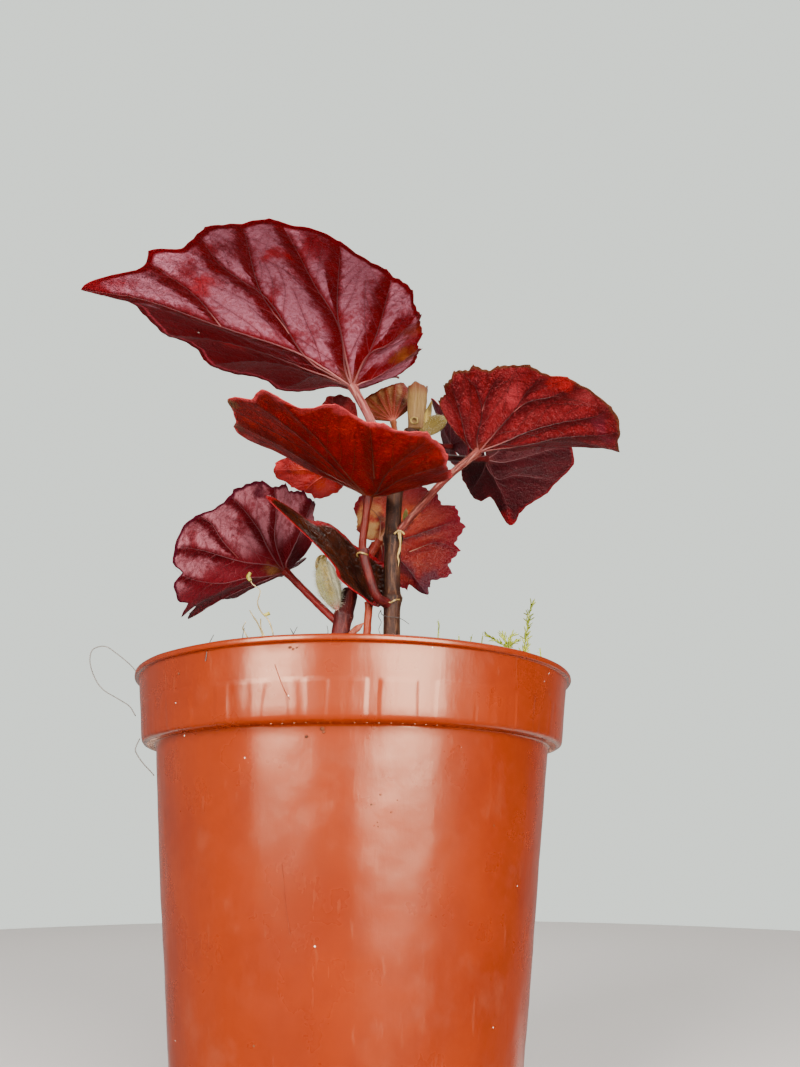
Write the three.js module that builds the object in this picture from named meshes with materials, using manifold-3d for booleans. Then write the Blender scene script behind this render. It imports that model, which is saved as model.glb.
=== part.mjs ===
// Potted medusa begonia: a young cane begonia with ten toothed, funnel-shaped leaves in a small
// round nursery pot. Millimetres, +Z up. The origin is the centre of the pot's underside, so the
// plant stands on z = 0, and +Y points away from the side that is seen first.
import * as THREE from 'three';
import { mergeVertices } from 'three/addons/utils/BufferGeometryUtils.js';
import Module from 'manifold-3d';

const wasm = await Module();
wasm.setup();

// Pot
const POT_HEIGHT = 80;
const LIP_RADIUS = 45;
const LIP_HEIGHT = 1.6;
const LIP_OVERHANG = 0.9;
const LIP_EDGE = 0.5;
const BAND_HEIGHT = 13.6;
const BAND_FOOT_RADIUS = 42.3;
const BAND_EDGE = 0.8;
const BODY_TOP_RADIUS = 39.6;
const BASE_RADIUS = 30;
const WALL = 1.3;
const FLOOR = 1.6;
const BASE_EDGE = 1.5;
const DRAIN_HOLES = 8;
const DRAIN_RADIUS = 3;
const DRAIN_CIRCLE = 22;
const DRAIN_SIDES = 12;
const POT_SIDES = 48;

// Soil
const SOIL_TOP = 74;
const SOIL_CROWN = 75.2;
const SOIL_MOUND_RADIUS = 20;
const SOIL_EDGE = 0.6;
const ROOTED_DEPTH = 16;

// What keeps two pieces apart
const CLEARANCE = 0.3;

// Leaf blades. Rings are shares of the way out from the junction to the edge. A tooth's notch is
// deepest a third of the way along it, and the teeth are uneven by a slow sine. Veins shorter than
// the full ones have lower teeth and waves.
const BLADE = 0.6;
const WIDE_RINGS = [0.3, 0.58, 0.82, 1];
const SMALL_RINGS = [0.45, 0.8, 1];
const WIDE_LEAF = 25;
const SEGMENTS_PER_TOOTH = 3;
const SAG_SPAN = 30;
const VEIN_ROUNDING = 1;
const NOTCH_AT = 1 / 3;
const TOOTH_MEAN = 0.7;
const TOOTH_SWING = 0.3;
const TOOTH_TURN = 2.4;
const FULL_TOOTH_VEIN = 10;
const FULL_WAVE_VEIN = 20;

// How finely round stems and scales are made
const STALK_SIDES = 8;
const STALK_STEPS = 9;
const STEM_SIDES = 10;
const CANE_STEPS = 12;
const SHOOT_STEPS = 6;
const SPUR_STEPS = 6;
const SWELLING_FACETS = [8, 5];
const SCALE_FACETS = [12, 10];
const SHEATH_SIDES = 14;

const COLOURS = {
  pot: { color: 0xb95a2b, roughness: 0.38, metalness: 0 },
  soil: { color: 0x3a2a20, roughness: 0.95, metalness: 0 },
  cane: { color: 0x4a2a28, roughness: 0.6, metalness: 0 },
  shoot: { color: 0x6e2023, roughness: 0.55, metalness: 0 },
  crimson: { color: 0x7c1c2a, roughness: 0.5, metalness: 0 },
  scarlet: { color: 0xa32418, roughness: 0.5, metalness: 0 },
  maroon: { color: 0x56222f, roughness: 0.5, metalness: 0 },
  olive: { color: 0x4b3421, roughness: 0.5, metalness: 0 },
  straw: { color: 0xb59a5c, roughness: 0.7, metalness: 0 },
  bud: { color: 0xc2bb8d, roughness: 0.7, metalness: 0 },
};

// Stems, each a path of points from the root up
const CANE_RADIUS = 1.85;
const CANE_PATH = [
  [7.6, 0.2, SOIL_TOP - ROOTED_DEPTH],
  [7.7, 0, 91.7],
  [7.8, 0, 108.5],
  [8.5, 0, 126],
  [10.4, 0.2, 135],
  [12.3, 0.3, 141.6],
];
const CANE_NODES = [
  [7.7, 0, 99],
  [7.9, 0, 113.5],
  [8.7, 0, 127.5],
];
const CANE_NODE_RADIUS = 2.35;
const SHOOT_RADIUS = 2.05;
const SHOOT_PATH = [
  [-4.2, 3.6, SOIL_TOP - ROOTED_DEPTH],
  [-3.5, 4, 92.6],
  [-1.6, 4.3, 102.6],
];
const SWELLING_SQUAT = 0.6;
const SPUR_RADIUS = 1.05;
const SPUR_PATH = [
  [6.9, -0.8, 97.8],
  [4.3, -3.7, 98.6],
  [2.3, -5.2, 103.5],
  [1, -5.8, 108.6],
];
const SPUR_COLLAR_RADIUS = 1.45;

// A leaf grows from the junction of its blade and stalk, at. Heading is the way the main vein points
// in plan, rise its slope and roll its turn about itself, in degrees. Cup is how steeply the blade
// climbs from the junction and fold how much more it climbs beside the main vein. Sag is how far it
// droops 30 mm out, along and across that vein. Side 1 has the wide lobe on the left. Each vein is
// its angle from the main vein and its length in mm. Stalk is the way down to what bears the leaf.
const LEAVES = [
  {
    name: 'leaf_crown', colour: 'crimson', bearer: 'cane',
    at: [-2.2, -4.9, 150.7], heading: 203, rise: -3, roll: -8,
    cup: 0.34, fold: 0.42, sag: [2.8, 10], side: 1, teeth: 22, toothDepth: 1.6, wave: 0.7,
    veins: [
      [-174, 8], [-160, 16], [-135, 28], [-105, 34], [-80, 39], [-60, 42], [-45, 44], [-30, 47],
      [-15, 50], [-6, 55], [0, 62], [4, 61], [8, 56], [12, 53], [16, 53], [20, 49], [26, 49],
      [32, 50], [40, 50], [50, 47], [62, 41], [75, 34], [90, 29], [105, 24], [120, 20], [135, 18],
      [160, 15], [174, 10],
    ],
    stalkRadius: 1.15,
    stalk: [[1.8, -4.4, 143], [5.6, -2.6, 135], [8.6, -0.4, 129]],
  },
  {
    name: 'leaf_right', colour: 'scarlet', bearer: 'cane',
    at: [27, -9.2, 131.9], heading: -17, rise: -14, roll: -6,
    cup: 0.54, fold: 0.69, sag: [12.5, 25.5], side: -1, teeth: 18, toothDepth: 1.6, wave: 0.5,
    veins: [
      [-174, 4], [-155, 9], [-130, 15], [-105, 22], [-75, 19], [-50, 18], [-30, 19], [-13, 29],
      [0, 31], [13, 32], [30, 26], [50, 22], [75, 17], [105, 16], [135, 13.5], [160, 11.5],
      [174, 4.5],
    ],
    stalkRadius: 0.9,
    stalk: [[19.4, -6.9, 125.6], [13, -3.6, 119], [8.4, -0.3, 114.4]],
  },
  {
    name: 'leaf_front', colour: 'scarlet', bearer: 'spur',
    at: [2, -8.4, 120.2], heading: 196, rise: 7, roll: -15,
    cup: 0.54, fold: -0.31, sag: [5, -5], side: 1, teeth: 18, toothDepth: 1.3, wave: 0.9,
    veins: [
      [-174, 3.5], [-160, 6], [-135, 7], [-105, 8], [-75, 9], [-50, 22], [-38, 26], [-26, 33],
      [-14, 33.5], [-5, 34], [2, 33.5], [9, 34.5], [16, 36.5], [24, 34], [34, 35], [44, 31.5],
      [56, 30], [68, 25.5], [80, 26], [95, 26.5], [112, 23.5], [130, 20], [148, 18.5], [165, 15.5],
      [174, 7],
    ],
    stalkRadius: 0.9,
    stalk: [[1.4, -7.7, 114.5], [0.9, -6.3, 109.6], [1.1, -5.7, 108]],
  },
  {
    name: 'leaf_left', colour: 'maroon', bearer: 'shoot',
    at: [-17.2, 10.3, 108.8], heading: 214, rise: -28, roll: 31,
    cup: 0.19, fold: 0.58, sag: [8.8, 8.7], side: 1, teeth: 18, toothDepth: 1.8, wave: 0.6,
    veins: [
      [-174, 4], [-160, 13], [-135, 13], [-105, 14], [-75, 17], [-50, 18], [-30, 25], [-13, 24],
      [0, 29.5], [13, 33], [30, 33.5], [50, 26.5], [75, 21.5], [105, 18], [135, 16.5], [160, 12],
      [174, 5],
    ],
    stalkRadius: 1.1,
    stalk: [[-11.6, 7.6, 102.6], [-7, 5.4, 97.6], [-3.4, 4.1, 94]],
  },
  {
    name: 'leaf_back_left', colour: 'scarlet', bearer: 'cane',
    at: [-4.4, 17.5, 141], heading: 171, rise: -15, roll: 42,
    cup: 0.22, fold: 0.07, sag: [1.1, 1.4], side: 1, teeth: 13, toothDepth: 1.8, wave: 0.5,
    veins: [
      [-172, 3], [-160, 6], [-135, 8], [-105, 9], [-75, 8], [-50, 13], [-30, 14], [-13, 16],
      [0, 20], [13, 18], [30, 12], [50, 13.5], [75, 15], [105, 18], [135, 12], [160, 8], [172, 3],
    ],
    stalkRadius: 0.85,
    stalk: [[0.6, 13.4, 136.4], [5.4, 6.6, 130.6], [8.5, 0.6, 125.6]],
  },
  {
    name: 'leaf_low', colour: 'olive', bearer: 'soil',
    at: [2.7, 0.8, 98.5], heading: -156, rise: 21, roll: -51,
    cup: 0.48, fold: -0.02, sag: [4.8, 4.7], side: -1, teeth: 14, toothDepth: 0.8, wave: 0.3,
    veins: [
      [-172, 2], [-150, 2.5], [-120, 3], [-90, 4], [-60, 8], [-35, 13], [-15, 15], [0, 32],
      [15, 22.5], [35, 19.5], [60, 14.5], [90, 12.5], [108, 11], [126, 7], [148, 2.5], [172, 2],
    ],
    stalkRadius: 0.85,
    stalk: [[2.3, 1, 91.9], [2, 1.4, 82], [1.9, 1.6, SOIL_TOP - ROOTED_DEPTH]],
  },
  {
    name: 'leaf_back', colour: 'scarlet', bearer: 'shoot',
    at: [5.2, 9.6, 116.9], heading: -16, rise: -54, roll: -83,
    cup: 0.34, fold: 0.23, sag: [2.1, 2.1], side: -1, teeth: 18, toothDepth: 2.3, wave: 0.4,
    veins: [
      [-130, 3], [-118, 4], [-100, 5], [-75, 6], [-45, 9], [-22, 12], [-8, 14.5], [0, 18.5],
      [8, 16], [22, 18], [45, 18.5], [70, 20], [95, 19.5], [120, 19.5], [145, 20], [170, 17],
      [195, 11.5], [212, 6.5], [222, 3],
    ],
    stalkRadius: 0.95,
    stalk: [[2.6, 11.2, 112.4], [0, 9.6, 106.4], [-1.8, 4.8, 101.4]],
  },
  {
    name: 'leaf_back_right', colour: 'maroon', bearer: 'cane',
    at: [34.3, 23.1, 146.2], heading: 56, rise: -54, roll: -3,
    cup: 0.32, fold: 0.27, sag: [7.7, 2], side: -1, teeth: 13, toothDepth: 0.9, wave: 0.5,
    veins: [
      [-172, 4], [-160, 7], [-135, 9], [-105, 9], [-75, 11], [-50, 13], [-30, 14], [-13, 12],
      [0, 21], [13, 18], [30, 18], [50, 20], [75, 22.5], [105, 16], [135, 11], [160, 8], [172, 4],
    ],
    stalkRadius: 0.85,
    stalk: [[28, 16, 142.6], [20, 8, 139], [10.6, 0.2, 136]],
  },
  {
    name: 'leaf_young', colour: 'straw', bearer: 'cane',
    at: [8.1, 3.4, 145.8], heading: 180, rise: 78, roll: 90,
    cup: 0.12, fold: 0.25, sag: [0, 0], side: 1, teeth: 8, toothDepth: 0.4, wave: 0.5,
    veins: [
      [-62, 4.5], [-50, 7.5], [-38, 10.5], [-28, 11], [-12, 10.6], [0, 11], [14, 10.6], [28, 10.4],
      [40, 9], [52, 5.5],
    ],
    stalkRadius: 0.7,
    stalk: [[8.6, 2.6, 142.6], [10, 1.4, 140.4], [11.4, 0.4, 138.8]],
  },
  {
    name: 'leaf_small', colour: 'maroon', bearer: 'cane',
    at: [25.1, 22.9, 149.6], heading: -193, rise: 68, roll: 23,
    cup: 0.11, fold: 0.02, sag: [3.5, 2.8], side: 1, teeth: 10, toothDepth: 0.7, wave: 0.3,
    veins: [
      [-172, 2], [-160, 5], [-135, 6], [-105, 6], [-75, 7], [-50, 7], [-30, 9], [-13, 11],
      [0, 17], [13, 13], [30, 10], [50, 9], [75, 8], [105, 8], [135, 8], [160, 6], [172, 2],
    ],
    stalkRadius: 0.75,
    stalk: [[22, 17, 146.6], [16.6, 8, 142.6], [11.2, 0.6, 137.6]],
  },
];

// The sheath that wraps the growing tip: a flattened tube, wider at its cut mouth
const SHEATH = {
  foot: [13.5, -0.4, 141.9], length: 12.2, footWidth: 4.1, mouthWidth: 5.2,
  flatness: 0.62, wall: 0.6, mouthDepth: 7, lean: [2, 2],
};

// Stipules and buds: flattened scales from a foot to a tip, width across and thickness through.
// Facing is the way the flat side looks and bow how far the middle stands off the straight line.
const SCALES = [
  {
    name: 'stipule_right', colour: 'straw', foot: [14, -0.4, 138.4], tip: [21.4, -0.8, 143.8],
    width: 3.6, thickness: 1.2, facing: [0, -1, 0.3], bow: 0.8, bluntness: 0.35,
  },
  {
    name: 'bud_shoot', colour: 'bud', foot: [-4.3, 2.7, 97], tip: [-8.4, 1.6, 109.4],
    width: 5.4, thickness: 2.2, facing: [-0.3, -1, 0], bow: 0.9, bluntness: 0.3,
  },
  {
    name: 'stipule_papery', colour: 'straw', foot: [9.3, -2.6, 105.8], tip: [9.8, -2.7, 113.6],
    width: 1.9, thickness: 0.8, facing: [0, -1, 0], bow: 0.1, bluntness: 0.4,
  },
  {
    name: 'stipule_green', colour: 'bud', foot: [10.5, 0.3, 117.2], tip: [11, 0.4, 121.4],
    width: 1.3, thickness: 0.8, facing: [0.4, -1, 0], bow: 0.1, bluntness: 0.2,
  },
];

const radians = THREE.MathUtils.degToRad;
const vector = (point) => new THREE.Vector3(...point);

// A closed geometry as a solid that can be joined and cut
function solid(geometry) {
  const bare = geometry.clone();
  bare.deleteAttribute('normal');
  bare.deleteAttribute('uv');
  const merged = mergeVertices(bare, 1e-4);
  return new wasm.Manifold(new wasm.Mesh({
    numProp: 3,
    vertProperties: new Float32Array(merged.attributes.position.array),
    triVerts: new Uint32Array(merged.index.array),
  }));
}

function geometryOf(body) {
  const cut = body.getMesh();
  const geometry = new THREE.BufferGeometry();
  geometry.setAttribute('position', new THREE.BufferAttribute(cut.vertProperties, 3));
  geometry.setIndex(new THREE.BufferAttribute(cut.triVerts, 1));
  geometry.computeVertexNormals();
  return geometry;
}

function circle(radius, sides) {
  const points = [];
  for (let i = 0; i < sides; i += 1) {
    const angle = (2 * Math.PI * i) / sides;
    points.push(new THREE.Vector2(radius * Math.cos(angle), radius * Math.sin(angle)));
  }
  return new THREE.Shape(points);
}

// A round tube along a smooth curve through the points
function tube(points, radius, steps, sides) {
  const path = new THREE.CatmullRomCurve3(points.map(vector), false, 'centripetal');
  const geometry = new THREE.ExtrudeGeometry(circle(radius, sides), {
    steps, extrudePath: path, bevelEnabled: false,
  });
  return solid(geometry);
}

// The room that a tube needs: the tube grown by the clearance all round and at both ends
function tubeRoom(points, radius, steps, sides) {
  const ends = [0, points.length - 1].map((i) => {
    const [end, next] = [vector(points[i]), vector(points[i === 0 ? 1 : i - 1])];
    return end.addScaledVector(end.clone().sub(next).normalize(), CLEARANCE).toArray();
  });
  return tube([ends[0], ...points.slice(1, -1), ends[1]], radius + CLEARANCE, steps, sides);
}

// The swelling of a stem where a leaf grew: a squat ball, grown by the extra all round
function swelling(at, radius, extra) {
  const ball = new THREE.SphereGeometry(1, ...SWELLING_FACETS);
  ball.scale(radius + extra, radius + extra, radius * SWELLING_SQUAT + extra);
  ball.translate(...at);
  return solid(ball);
}

function lathe(profile, sides) {
  const geometry = new THREE.LatheGeometry(profile.map(([r, z]) => new THREE.Vector2(r, z)), sides);
  geometry.rotateX(Math.PI / 2);
  return solid(geometry);
}

// The pot: a tapered body, a deeper band round its mouth with a thin lip, and drain holes
function potSolid() {
  const bandFoot = POT_HEIGHT - BAND_HEIGHT;
  const bandTop = LIP_RADIUS - LIP_OVERHANG;
  const profile = [
    [0, 0],
    [BASE_RADIUS - BASE_EDGE, 0],
    [BASE_RADIUS - BASE_EDGE * 0.3, BASE_EDGE * 0.3],
    [BASE_RADIUS, BASE_EDGE],
    [BODY_TOP_RADIUS, bandFoot],
    [BAND_FOOT_RADIUS - BAND_EDGE, bandFoot],
    [BAND_FOOT_RADIUS, bandFoot + BAND_EDGE],
    [bandTop, POT_HEIGHT - LIP_HEIGHT],
    [LIP_RADIUS, POT_HEIGHT - LIP_HEIGHT * 0.8],
    [LIP_RADIUS, POT_HEIGHT - LIP_HEIGHT * 0.3],
    [LIP_RADIUS - LIP_EDGE, POT_HEIGHT],
    [bandTop - WALL, POT_HEIGHT],
    [BAND_FOOT_RADIUS - WALL, bandFoot + WALL],
    [BODY_TOP_RADIUS - WALL, bandFoot + WALL],
    [BASE_RADIUS - WALL, FLOOR],
    [0, FLOOR],
  ];
  let pot = lathe(profile, POT_SIDES);
  for (let i = 0; i < DRAIN_HOLES; i += 1) {
    const angle = (2 * Math.PI * (i + 0.5)) / DRAIN_HOLES;
    const hole = new THREE.CylinderGeometry(DRAIN_RADIUS, DRAIN_RADIUS, FLOOR * 4, DRAIN_SIDES);
    hole.rotateX(Math.PI / 2);
    hole.translate(DRAIN_CIRCLE * Math.cos(angle), DRAIN_CIRCLE * Math.sin(angle), 0);
    pot = pot.subtract(solid(hole));
  }
  return pot;
}

// The soil fills the pot to just under its rim, a little higher round the stems. It follows the
// pot's inner wall, which steps out over the shoulder at the foot of the band.
function soilSolid(rooted) {
  const shoulder = POT_HEIGHT - BAND_HEIGHT + WALL;
  const slope = (BODY_TOP_RADIUS - BASE_RADIUS) / (shoulder - FLOOR);
  const inner = (z) => BASE_RADIUS + slope * (z - FLOOR) - WALL - CLEARANCE;
  const profile = [
    [0, FLOOR + CLEARANCE],
    [inner(FLOOR + CLEARANCE), FLOOR + CLEARANCE],
    [inner(shoulder + CLEARANCE), shoulder + CLEARANCE],
    [BAND_FOOT_RADIUS - WALL - CLEARANCE, shoulder + CLEARANCE],
    [BAND_FOOT_RADIUS - WALL, SOIL_TOP - SOIL_EDGE],
    [BAND_FOOT_RADIUS - WALL * 2, SOIL_TOP],
    [SOIL_MOUND_RADIUS, SOIL_TOP + SOIL_EDGE],
    [0, SOIL_CROWN],
  ];
  let soil = lathe(profile, POT_SIDES);
  for (const hole of rooted) soil = soil.subtract(hole);
  return soil;
}

// A vein's length at any angle: a smooth curve through the veins that are given
function veinLength(veins, angle) {
  const last = veins.length - 1;
  const slope = (i) => {
    const [before, after] = [veins[Math.max(i - 1, 0)], veins[Math.min(i + 1, last)]];
    return (after[1] - before[1]) / (after[0] - before[0]);
  };
  let i = 0;
  while (i < last - 1 && angle > veins[i + 1][0]) i += 1;
  const span = veins[i + 1][0] - veins[i][0];
  const t = (angle - veins[i][0]) / span;
  const [t2, t3] = [t * t, t * t * t];
  return (2 * t3 - 3 * t2 + 1) * veins[i][1] + (t3 - 2 * t2 + t) * span * slope(i)
    + (3 * t2 - 2 * t3) * veins[i + 1][1] + (t3 - t2) * span * slope(i + 1);
}

// The leaf's own directions: along its main vein, across it, and up through the blade
function leafAxes({ heading, rise, roll }) {
  const [h, r, turn] = [radians(heading), radians(rise), radians(roll)];
  const along = new THREE.Vector3(Math.cos(h) * Math.cos(r), Math.sin(h) * Math.cos(r), Math.sin(r));
  const across = new THREE.Vector3(-Math.sin(h), Math.cos(h), 0);
  const up = along.clone().cross(across);
  const axis = along.clone();
  return { along, across: across.applyAxisAngle(axis, turn), up: up.applyAxisAngle(axis, turn) };
}

// A point of the blade at a share of the way round its edge and a share of the way out along a vein.
// The edge is a row of teeth, deeper and shallower by turns, and waves up and down every two teeth.
function bladePoint(leaf, axes, round, out) {
  const first = leaf.veins[0][0];
  const angle = first + (leaf.veins[leaf.veins.length - 1][0] - first) * round;
  const place = round * leaf.teeth;
  const tooth = Math.floor(place + 1e-6);
  const part = Math.max(place - tooth, 0);
  const notch = part < NOTCH_AT ? part / NOTCH_AT : (1 - part) / (1 - NOTCH_AT);
  const depth = leaf.toothDepth * (TOOTH_MEAN + TOOTH_SWING * Math.sin(TOOTH_TURN * tooth)) * notch;
  const full = veinLength(leaf.veins, angle);
  const r = (full - depth * Math.min(1, full / FULL_TOOTH_VEIN) * out ** 6) * out;
  const a = r * Math.cos(radians(angle));
  const b = r * Math.sin(radians(angle)) * leaf.side;
  const besideVein = Math.hypot(b, VEIN_ROUNDING) - VEIN_ROUNDING;
  const sag = (leaf.sag[0] * a * Math.max(a, 0) + leaf.sag[1] * b * b) / SAG_SPAN ** 2;
  const wave = leaf.wave * Math.sin(Math.PI * place) * Math.min(1, full / FULL_WAVE_VEIN) * out ** 3;
  const lift = leaf.cup * r + leaf.fold * besideVein - sag + wave;
  return vector(leaf.at)
    .addScaledVector(axes.along, a)
    .addScaledVector(axes.across, b)
    .addScaledVector(axes.up, lift);
}

// The blade as a thin closed shell: an upper and a lower face split alike, and the edge between
function bladeSolid(leaf) {
  const axes = leafAxes(leaf);
  const columns = leaf.teeth * SEGMENTS_PER_TOOTH;
  const longest = Math.max(...leaf.veins.map(([, length]) => length));
  const shares = longest > WIDE_LEAF ? WIDE_RINGS : SMALL_RINGS;
  const rings = shares.length;
  const half = (BLADE * Math.hypot(1, leaf.cup + Math.abs(leaf.fold))) / 2;
  const perFace = 1 + (columns + 1) * rings;
  const positions = [];
  for (const face of [1, -1]) {
    const offset = axes.up.clone().multiplyScalar(face * half);
    positions.push(...vector(leaf.at).add(offset).toArray());
    for (let i = 0; i <= columns; i += 1) {
      for (const out of shares) {
        positions.push(...bladePoint(leaf, axes, i / columns, out).add(offset).toArray());
      }
    }
  }
  const index = [];
  const upper = (i, k) => (k < 0 ? 0 : 1 + i * rings + k);
  const triangle = (p, q, s) => {
    index.push(p, q, s);
    index.push(p + perFace, s + perFace, q + perFace);
  };
  const wall = (p, q) => {
    index.push(p, p + perFace, q + perFace);
    index.push(p, q + perFace, q);
  };
  for (let i = 0; i < columns; i += 1) {
    triangle(0, upper(i, 0), upper(i + 1, 0));
    for (let k = 0; k < rings - 1; k += 1) {
      triangle(upper(i, k), upper(i, k + 1), upper(i + 1, k + 1));
      triangle(upper(i, k), upper(i + 1, k + 1), upper(i + 1, k));
    }
    wall(upper(i, rings - 1), upper(i + 1, rings - 1));
  }
  for (let k = 0; k < rings; k += 1) {
    wall(upper(0, k - 1), upper(0, k));
    wall(upper(columns, k), upper(columns, k - 1));
  }
  if (leaf.side < 0) {
    for (let i = 0; i < index.length; i += 3) [index[i], index[i + 1]] = [index[i + 1], index[i]];
  }
  const geometry = new THREE.BufferGeometry();
  geometry.setAttribute('position', new THREE.Float32BufferAttribute(positions, 3));
  geometry.setIndex(index);
  return solid(geometry);
}

// A leaf is its blade and stalk grown together, cut clear of the stem that bears it
function leafSolid(leaf, bearers) {
  const stalk = tube([leaf.at, ...leaf.stalk], leaf.stalkRadius, STALK_STEPS, STALK_SIDES);
  const whole = bladeSolid(leaf).add(stalk);
  return bearers[leaf.bearer] ? whole.subtract(bearers[leaf.bearer]) : whole;
}

// A scale: a ball drawn out to its length, flattened, narrowed to its ends and bowed
function scaleSolid(scale) {
  const [foot, tip] = [vector(scale.foot), vector(scale.tip)];
  const length = foot.distanceTo(tip);
  const along = tip.clone().sub(foot).normalize();
  const across = vector(scale.facing).cross(along).normalize();
  const out = along.clone().cross(across);
  const ball = new THREE.SphereGeometry(1, ...SCALE_FACETS);
  ball.rotateX(Math.PI / 2);
  const place = ball.attributes.position;
  for (let i = 0; i < place.count; i += 1) {
    const [x, y, z] = [place.getX(i), place.getY(i), place.getZ(i)];
    const share = (1 + z) / 2;
    const girth = Math.hypot(x, y);
    const narrow = girth > 1e-6 ? girth ** (1 - scale.bluntness) : 1;
    const point = foot.clone()
      .addScaledVector(along, share * length)
      .addScaledVector(across, (x * scale.width * narrow) / 2)
      .addScaledVector(out, (y * scale.thickness * narrow) / 2 + scale.bow * 4 * share * (1 - share));
    place.setXYZ(i, point.x, point.y, point.z);
  }
  return solid(ball);
}

function sheathSolid() {
  const { foot, length, footWidth, mouthWidth, wall, mouthDepth } = SHEATH;
  const outer = new THREE.CylinderGeometry(mouthWidth / 2, footWidth / 2, length, SHEATH_SIDES);
  outer.translate(0, length / 2, 0);
  const floorWidth = mouthWidth - ((mouthWidth - footWidth) * mouthDepth) / length;
  const [mouth, bottom] = [mouthWidth / 2 - wall, floorWidth / 2 - wall];
  const inner = new THREE.CylinderGeometry(mouth, bottom, mouthDepth, SHEATH_SIDES);
  inner.translate(0, length - mouthDepth / 2 + CLEARANCE / 10, 0);
  for (const cone of [outer, inner]) {
    cone.rotateX(Math.PI / 2);
    cone.scale(1, SHEATH.flatness, 1);
    cone.rotateY(radians(SHEATH.lean[0]));
    cone.rotateX(radians(-SHEATH.lean[1]));
    cone.translate(...foot);
  }
  return solid(outer).subtract(solid(inner));
}

const plant = new THREE.Group();
function grow(name, colour, body) {
  const mesh = new THREE.Mesh(geometryOf(body), new THREE.MeshStandardMaterial(COLOURS[colour]));
  mesh.name = name;
  plant.add(mesh);
}

// The cane and the front spur, as they are or with the room that they need round them
function caneSolid(extra) {
  const make = extra > 0 ? tubeRoom : tube;
  let cane = make(CANE_PATH, CANE_RADIUS, CANE_STEPS, STEM_SIDES);
  for (const at of CANE_NODES) cane = cane.add(swelling(at, CANE_NODE_RADIUS, extra));
  return cane;
}

function spurSolid(extra) {
  const make = extra > 0 ? tubeRoom : tube;
  const collar = swelling(SPUR_PATH[SPUR_PATH.length - 1], SPUR_COLLAR_RADIUS, extra);
  return make(SPUR_PATH, SPUR_RADIUS, SPUR_STEPS, STALK_SIDES).add(collar);
}

const lowLeaf = LEAVES.find((leaf) => leaf.name === 'leaf_low');
const caneRoom = caneSolid(CLEARANCE);
const shootRoom = tubeRoom(SHOOT_PATH, SHOOT_RADIUS, SHOOT_STEPS, STEM_SIDES);
const lowStalk = [lowLeaf.at, ...lowLeaf.stalk];
const lowStalkRoom = tubeRoom(lowStalk, lowLeaf.stalkRadius, STALK_STEPS, STALK_SIDES);
const bearers = { cane: caneRoom, shoot: shootRoom, spur: spurSolid(CLEARANCE) };

grow('pot', 'pot', potSolid());
grow('soil', 'soil', soilSolid([caneRoom, shootRoom, lowStalkRoom]));
grow('stem_main', 'cane', caneSolid(0));
grow('stem_second', 'shoot', tube(SHOOT_PATH, SHOOT_RADIUS, SHOOT_STEPS, STEM_SIDES));
grow('spur_front', 'shoot', spurSolid(0).subtract(caneRoom));
for (const leaf of LEAVES) grow(leaf.name, leaf.colour, leafSolid(leaf, bearers));
grow('stipule_sheath', 'straw', sheathSolid().subtract(caneRoom));
for (const scale of SCALES) {
  grow(scale.name, scale.colour, scaleSolid(scale).subtract(caneRoom).subtract(shootRoom));
}

export default plant;
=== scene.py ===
"""Looks of the potted begonia: pot, soil, stems, leaves, scales and what grows beside them."""
import math

import bmesh
import bpy
import numpy as np
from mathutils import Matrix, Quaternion, Vector


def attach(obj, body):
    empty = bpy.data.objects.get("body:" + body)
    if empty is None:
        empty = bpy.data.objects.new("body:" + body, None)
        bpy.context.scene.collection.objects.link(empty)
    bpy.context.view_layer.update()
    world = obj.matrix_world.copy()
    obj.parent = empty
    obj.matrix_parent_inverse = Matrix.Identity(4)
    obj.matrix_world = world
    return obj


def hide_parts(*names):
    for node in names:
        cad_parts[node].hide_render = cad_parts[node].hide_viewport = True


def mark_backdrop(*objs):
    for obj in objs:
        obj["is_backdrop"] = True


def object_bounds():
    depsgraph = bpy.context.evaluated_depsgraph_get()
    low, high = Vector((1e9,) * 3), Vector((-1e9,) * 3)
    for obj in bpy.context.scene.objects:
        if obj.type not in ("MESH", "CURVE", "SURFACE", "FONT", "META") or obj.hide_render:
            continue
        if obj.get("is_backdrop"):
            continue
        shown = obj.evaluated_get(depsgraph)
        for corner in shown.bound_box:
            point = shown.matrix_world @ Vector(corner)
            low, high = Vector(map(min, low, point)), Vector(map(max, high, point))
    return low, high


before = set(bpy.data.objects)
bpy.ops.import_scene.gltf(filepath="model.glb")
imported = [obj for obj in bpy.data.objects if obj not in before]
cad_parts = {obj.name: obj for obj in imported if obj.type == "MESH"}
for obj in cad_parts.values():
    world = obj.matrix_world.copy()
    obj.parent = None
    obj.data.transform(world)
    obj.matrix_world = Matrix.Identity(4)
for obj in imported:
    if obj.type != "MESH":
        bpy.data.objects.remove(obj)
cad_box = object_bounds()
scene = bpy.context.scene
MM = 0.001


# Camera, stage and light

CAMERA_AT = (0, -0.171, 0.04796)
CAMERA_PITCH = 21.36
CAMERA_PAN = 3.19
FOCAL_PIXELS = 800
LONG_SIDE_PIXELS = 1067
SENSOR = 36

FLOOR_COLOUR = (0.68, 0.69, 0.69, 1)
WALL_GLOW = (1.14, 1.22, 1.13, 1)
STAGE_RADIUS = 3.0
STAGE_FILLET = 1.2
STAGE_HEIGHT = 9
FLOOR_RADIUS = 0.45

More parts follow.
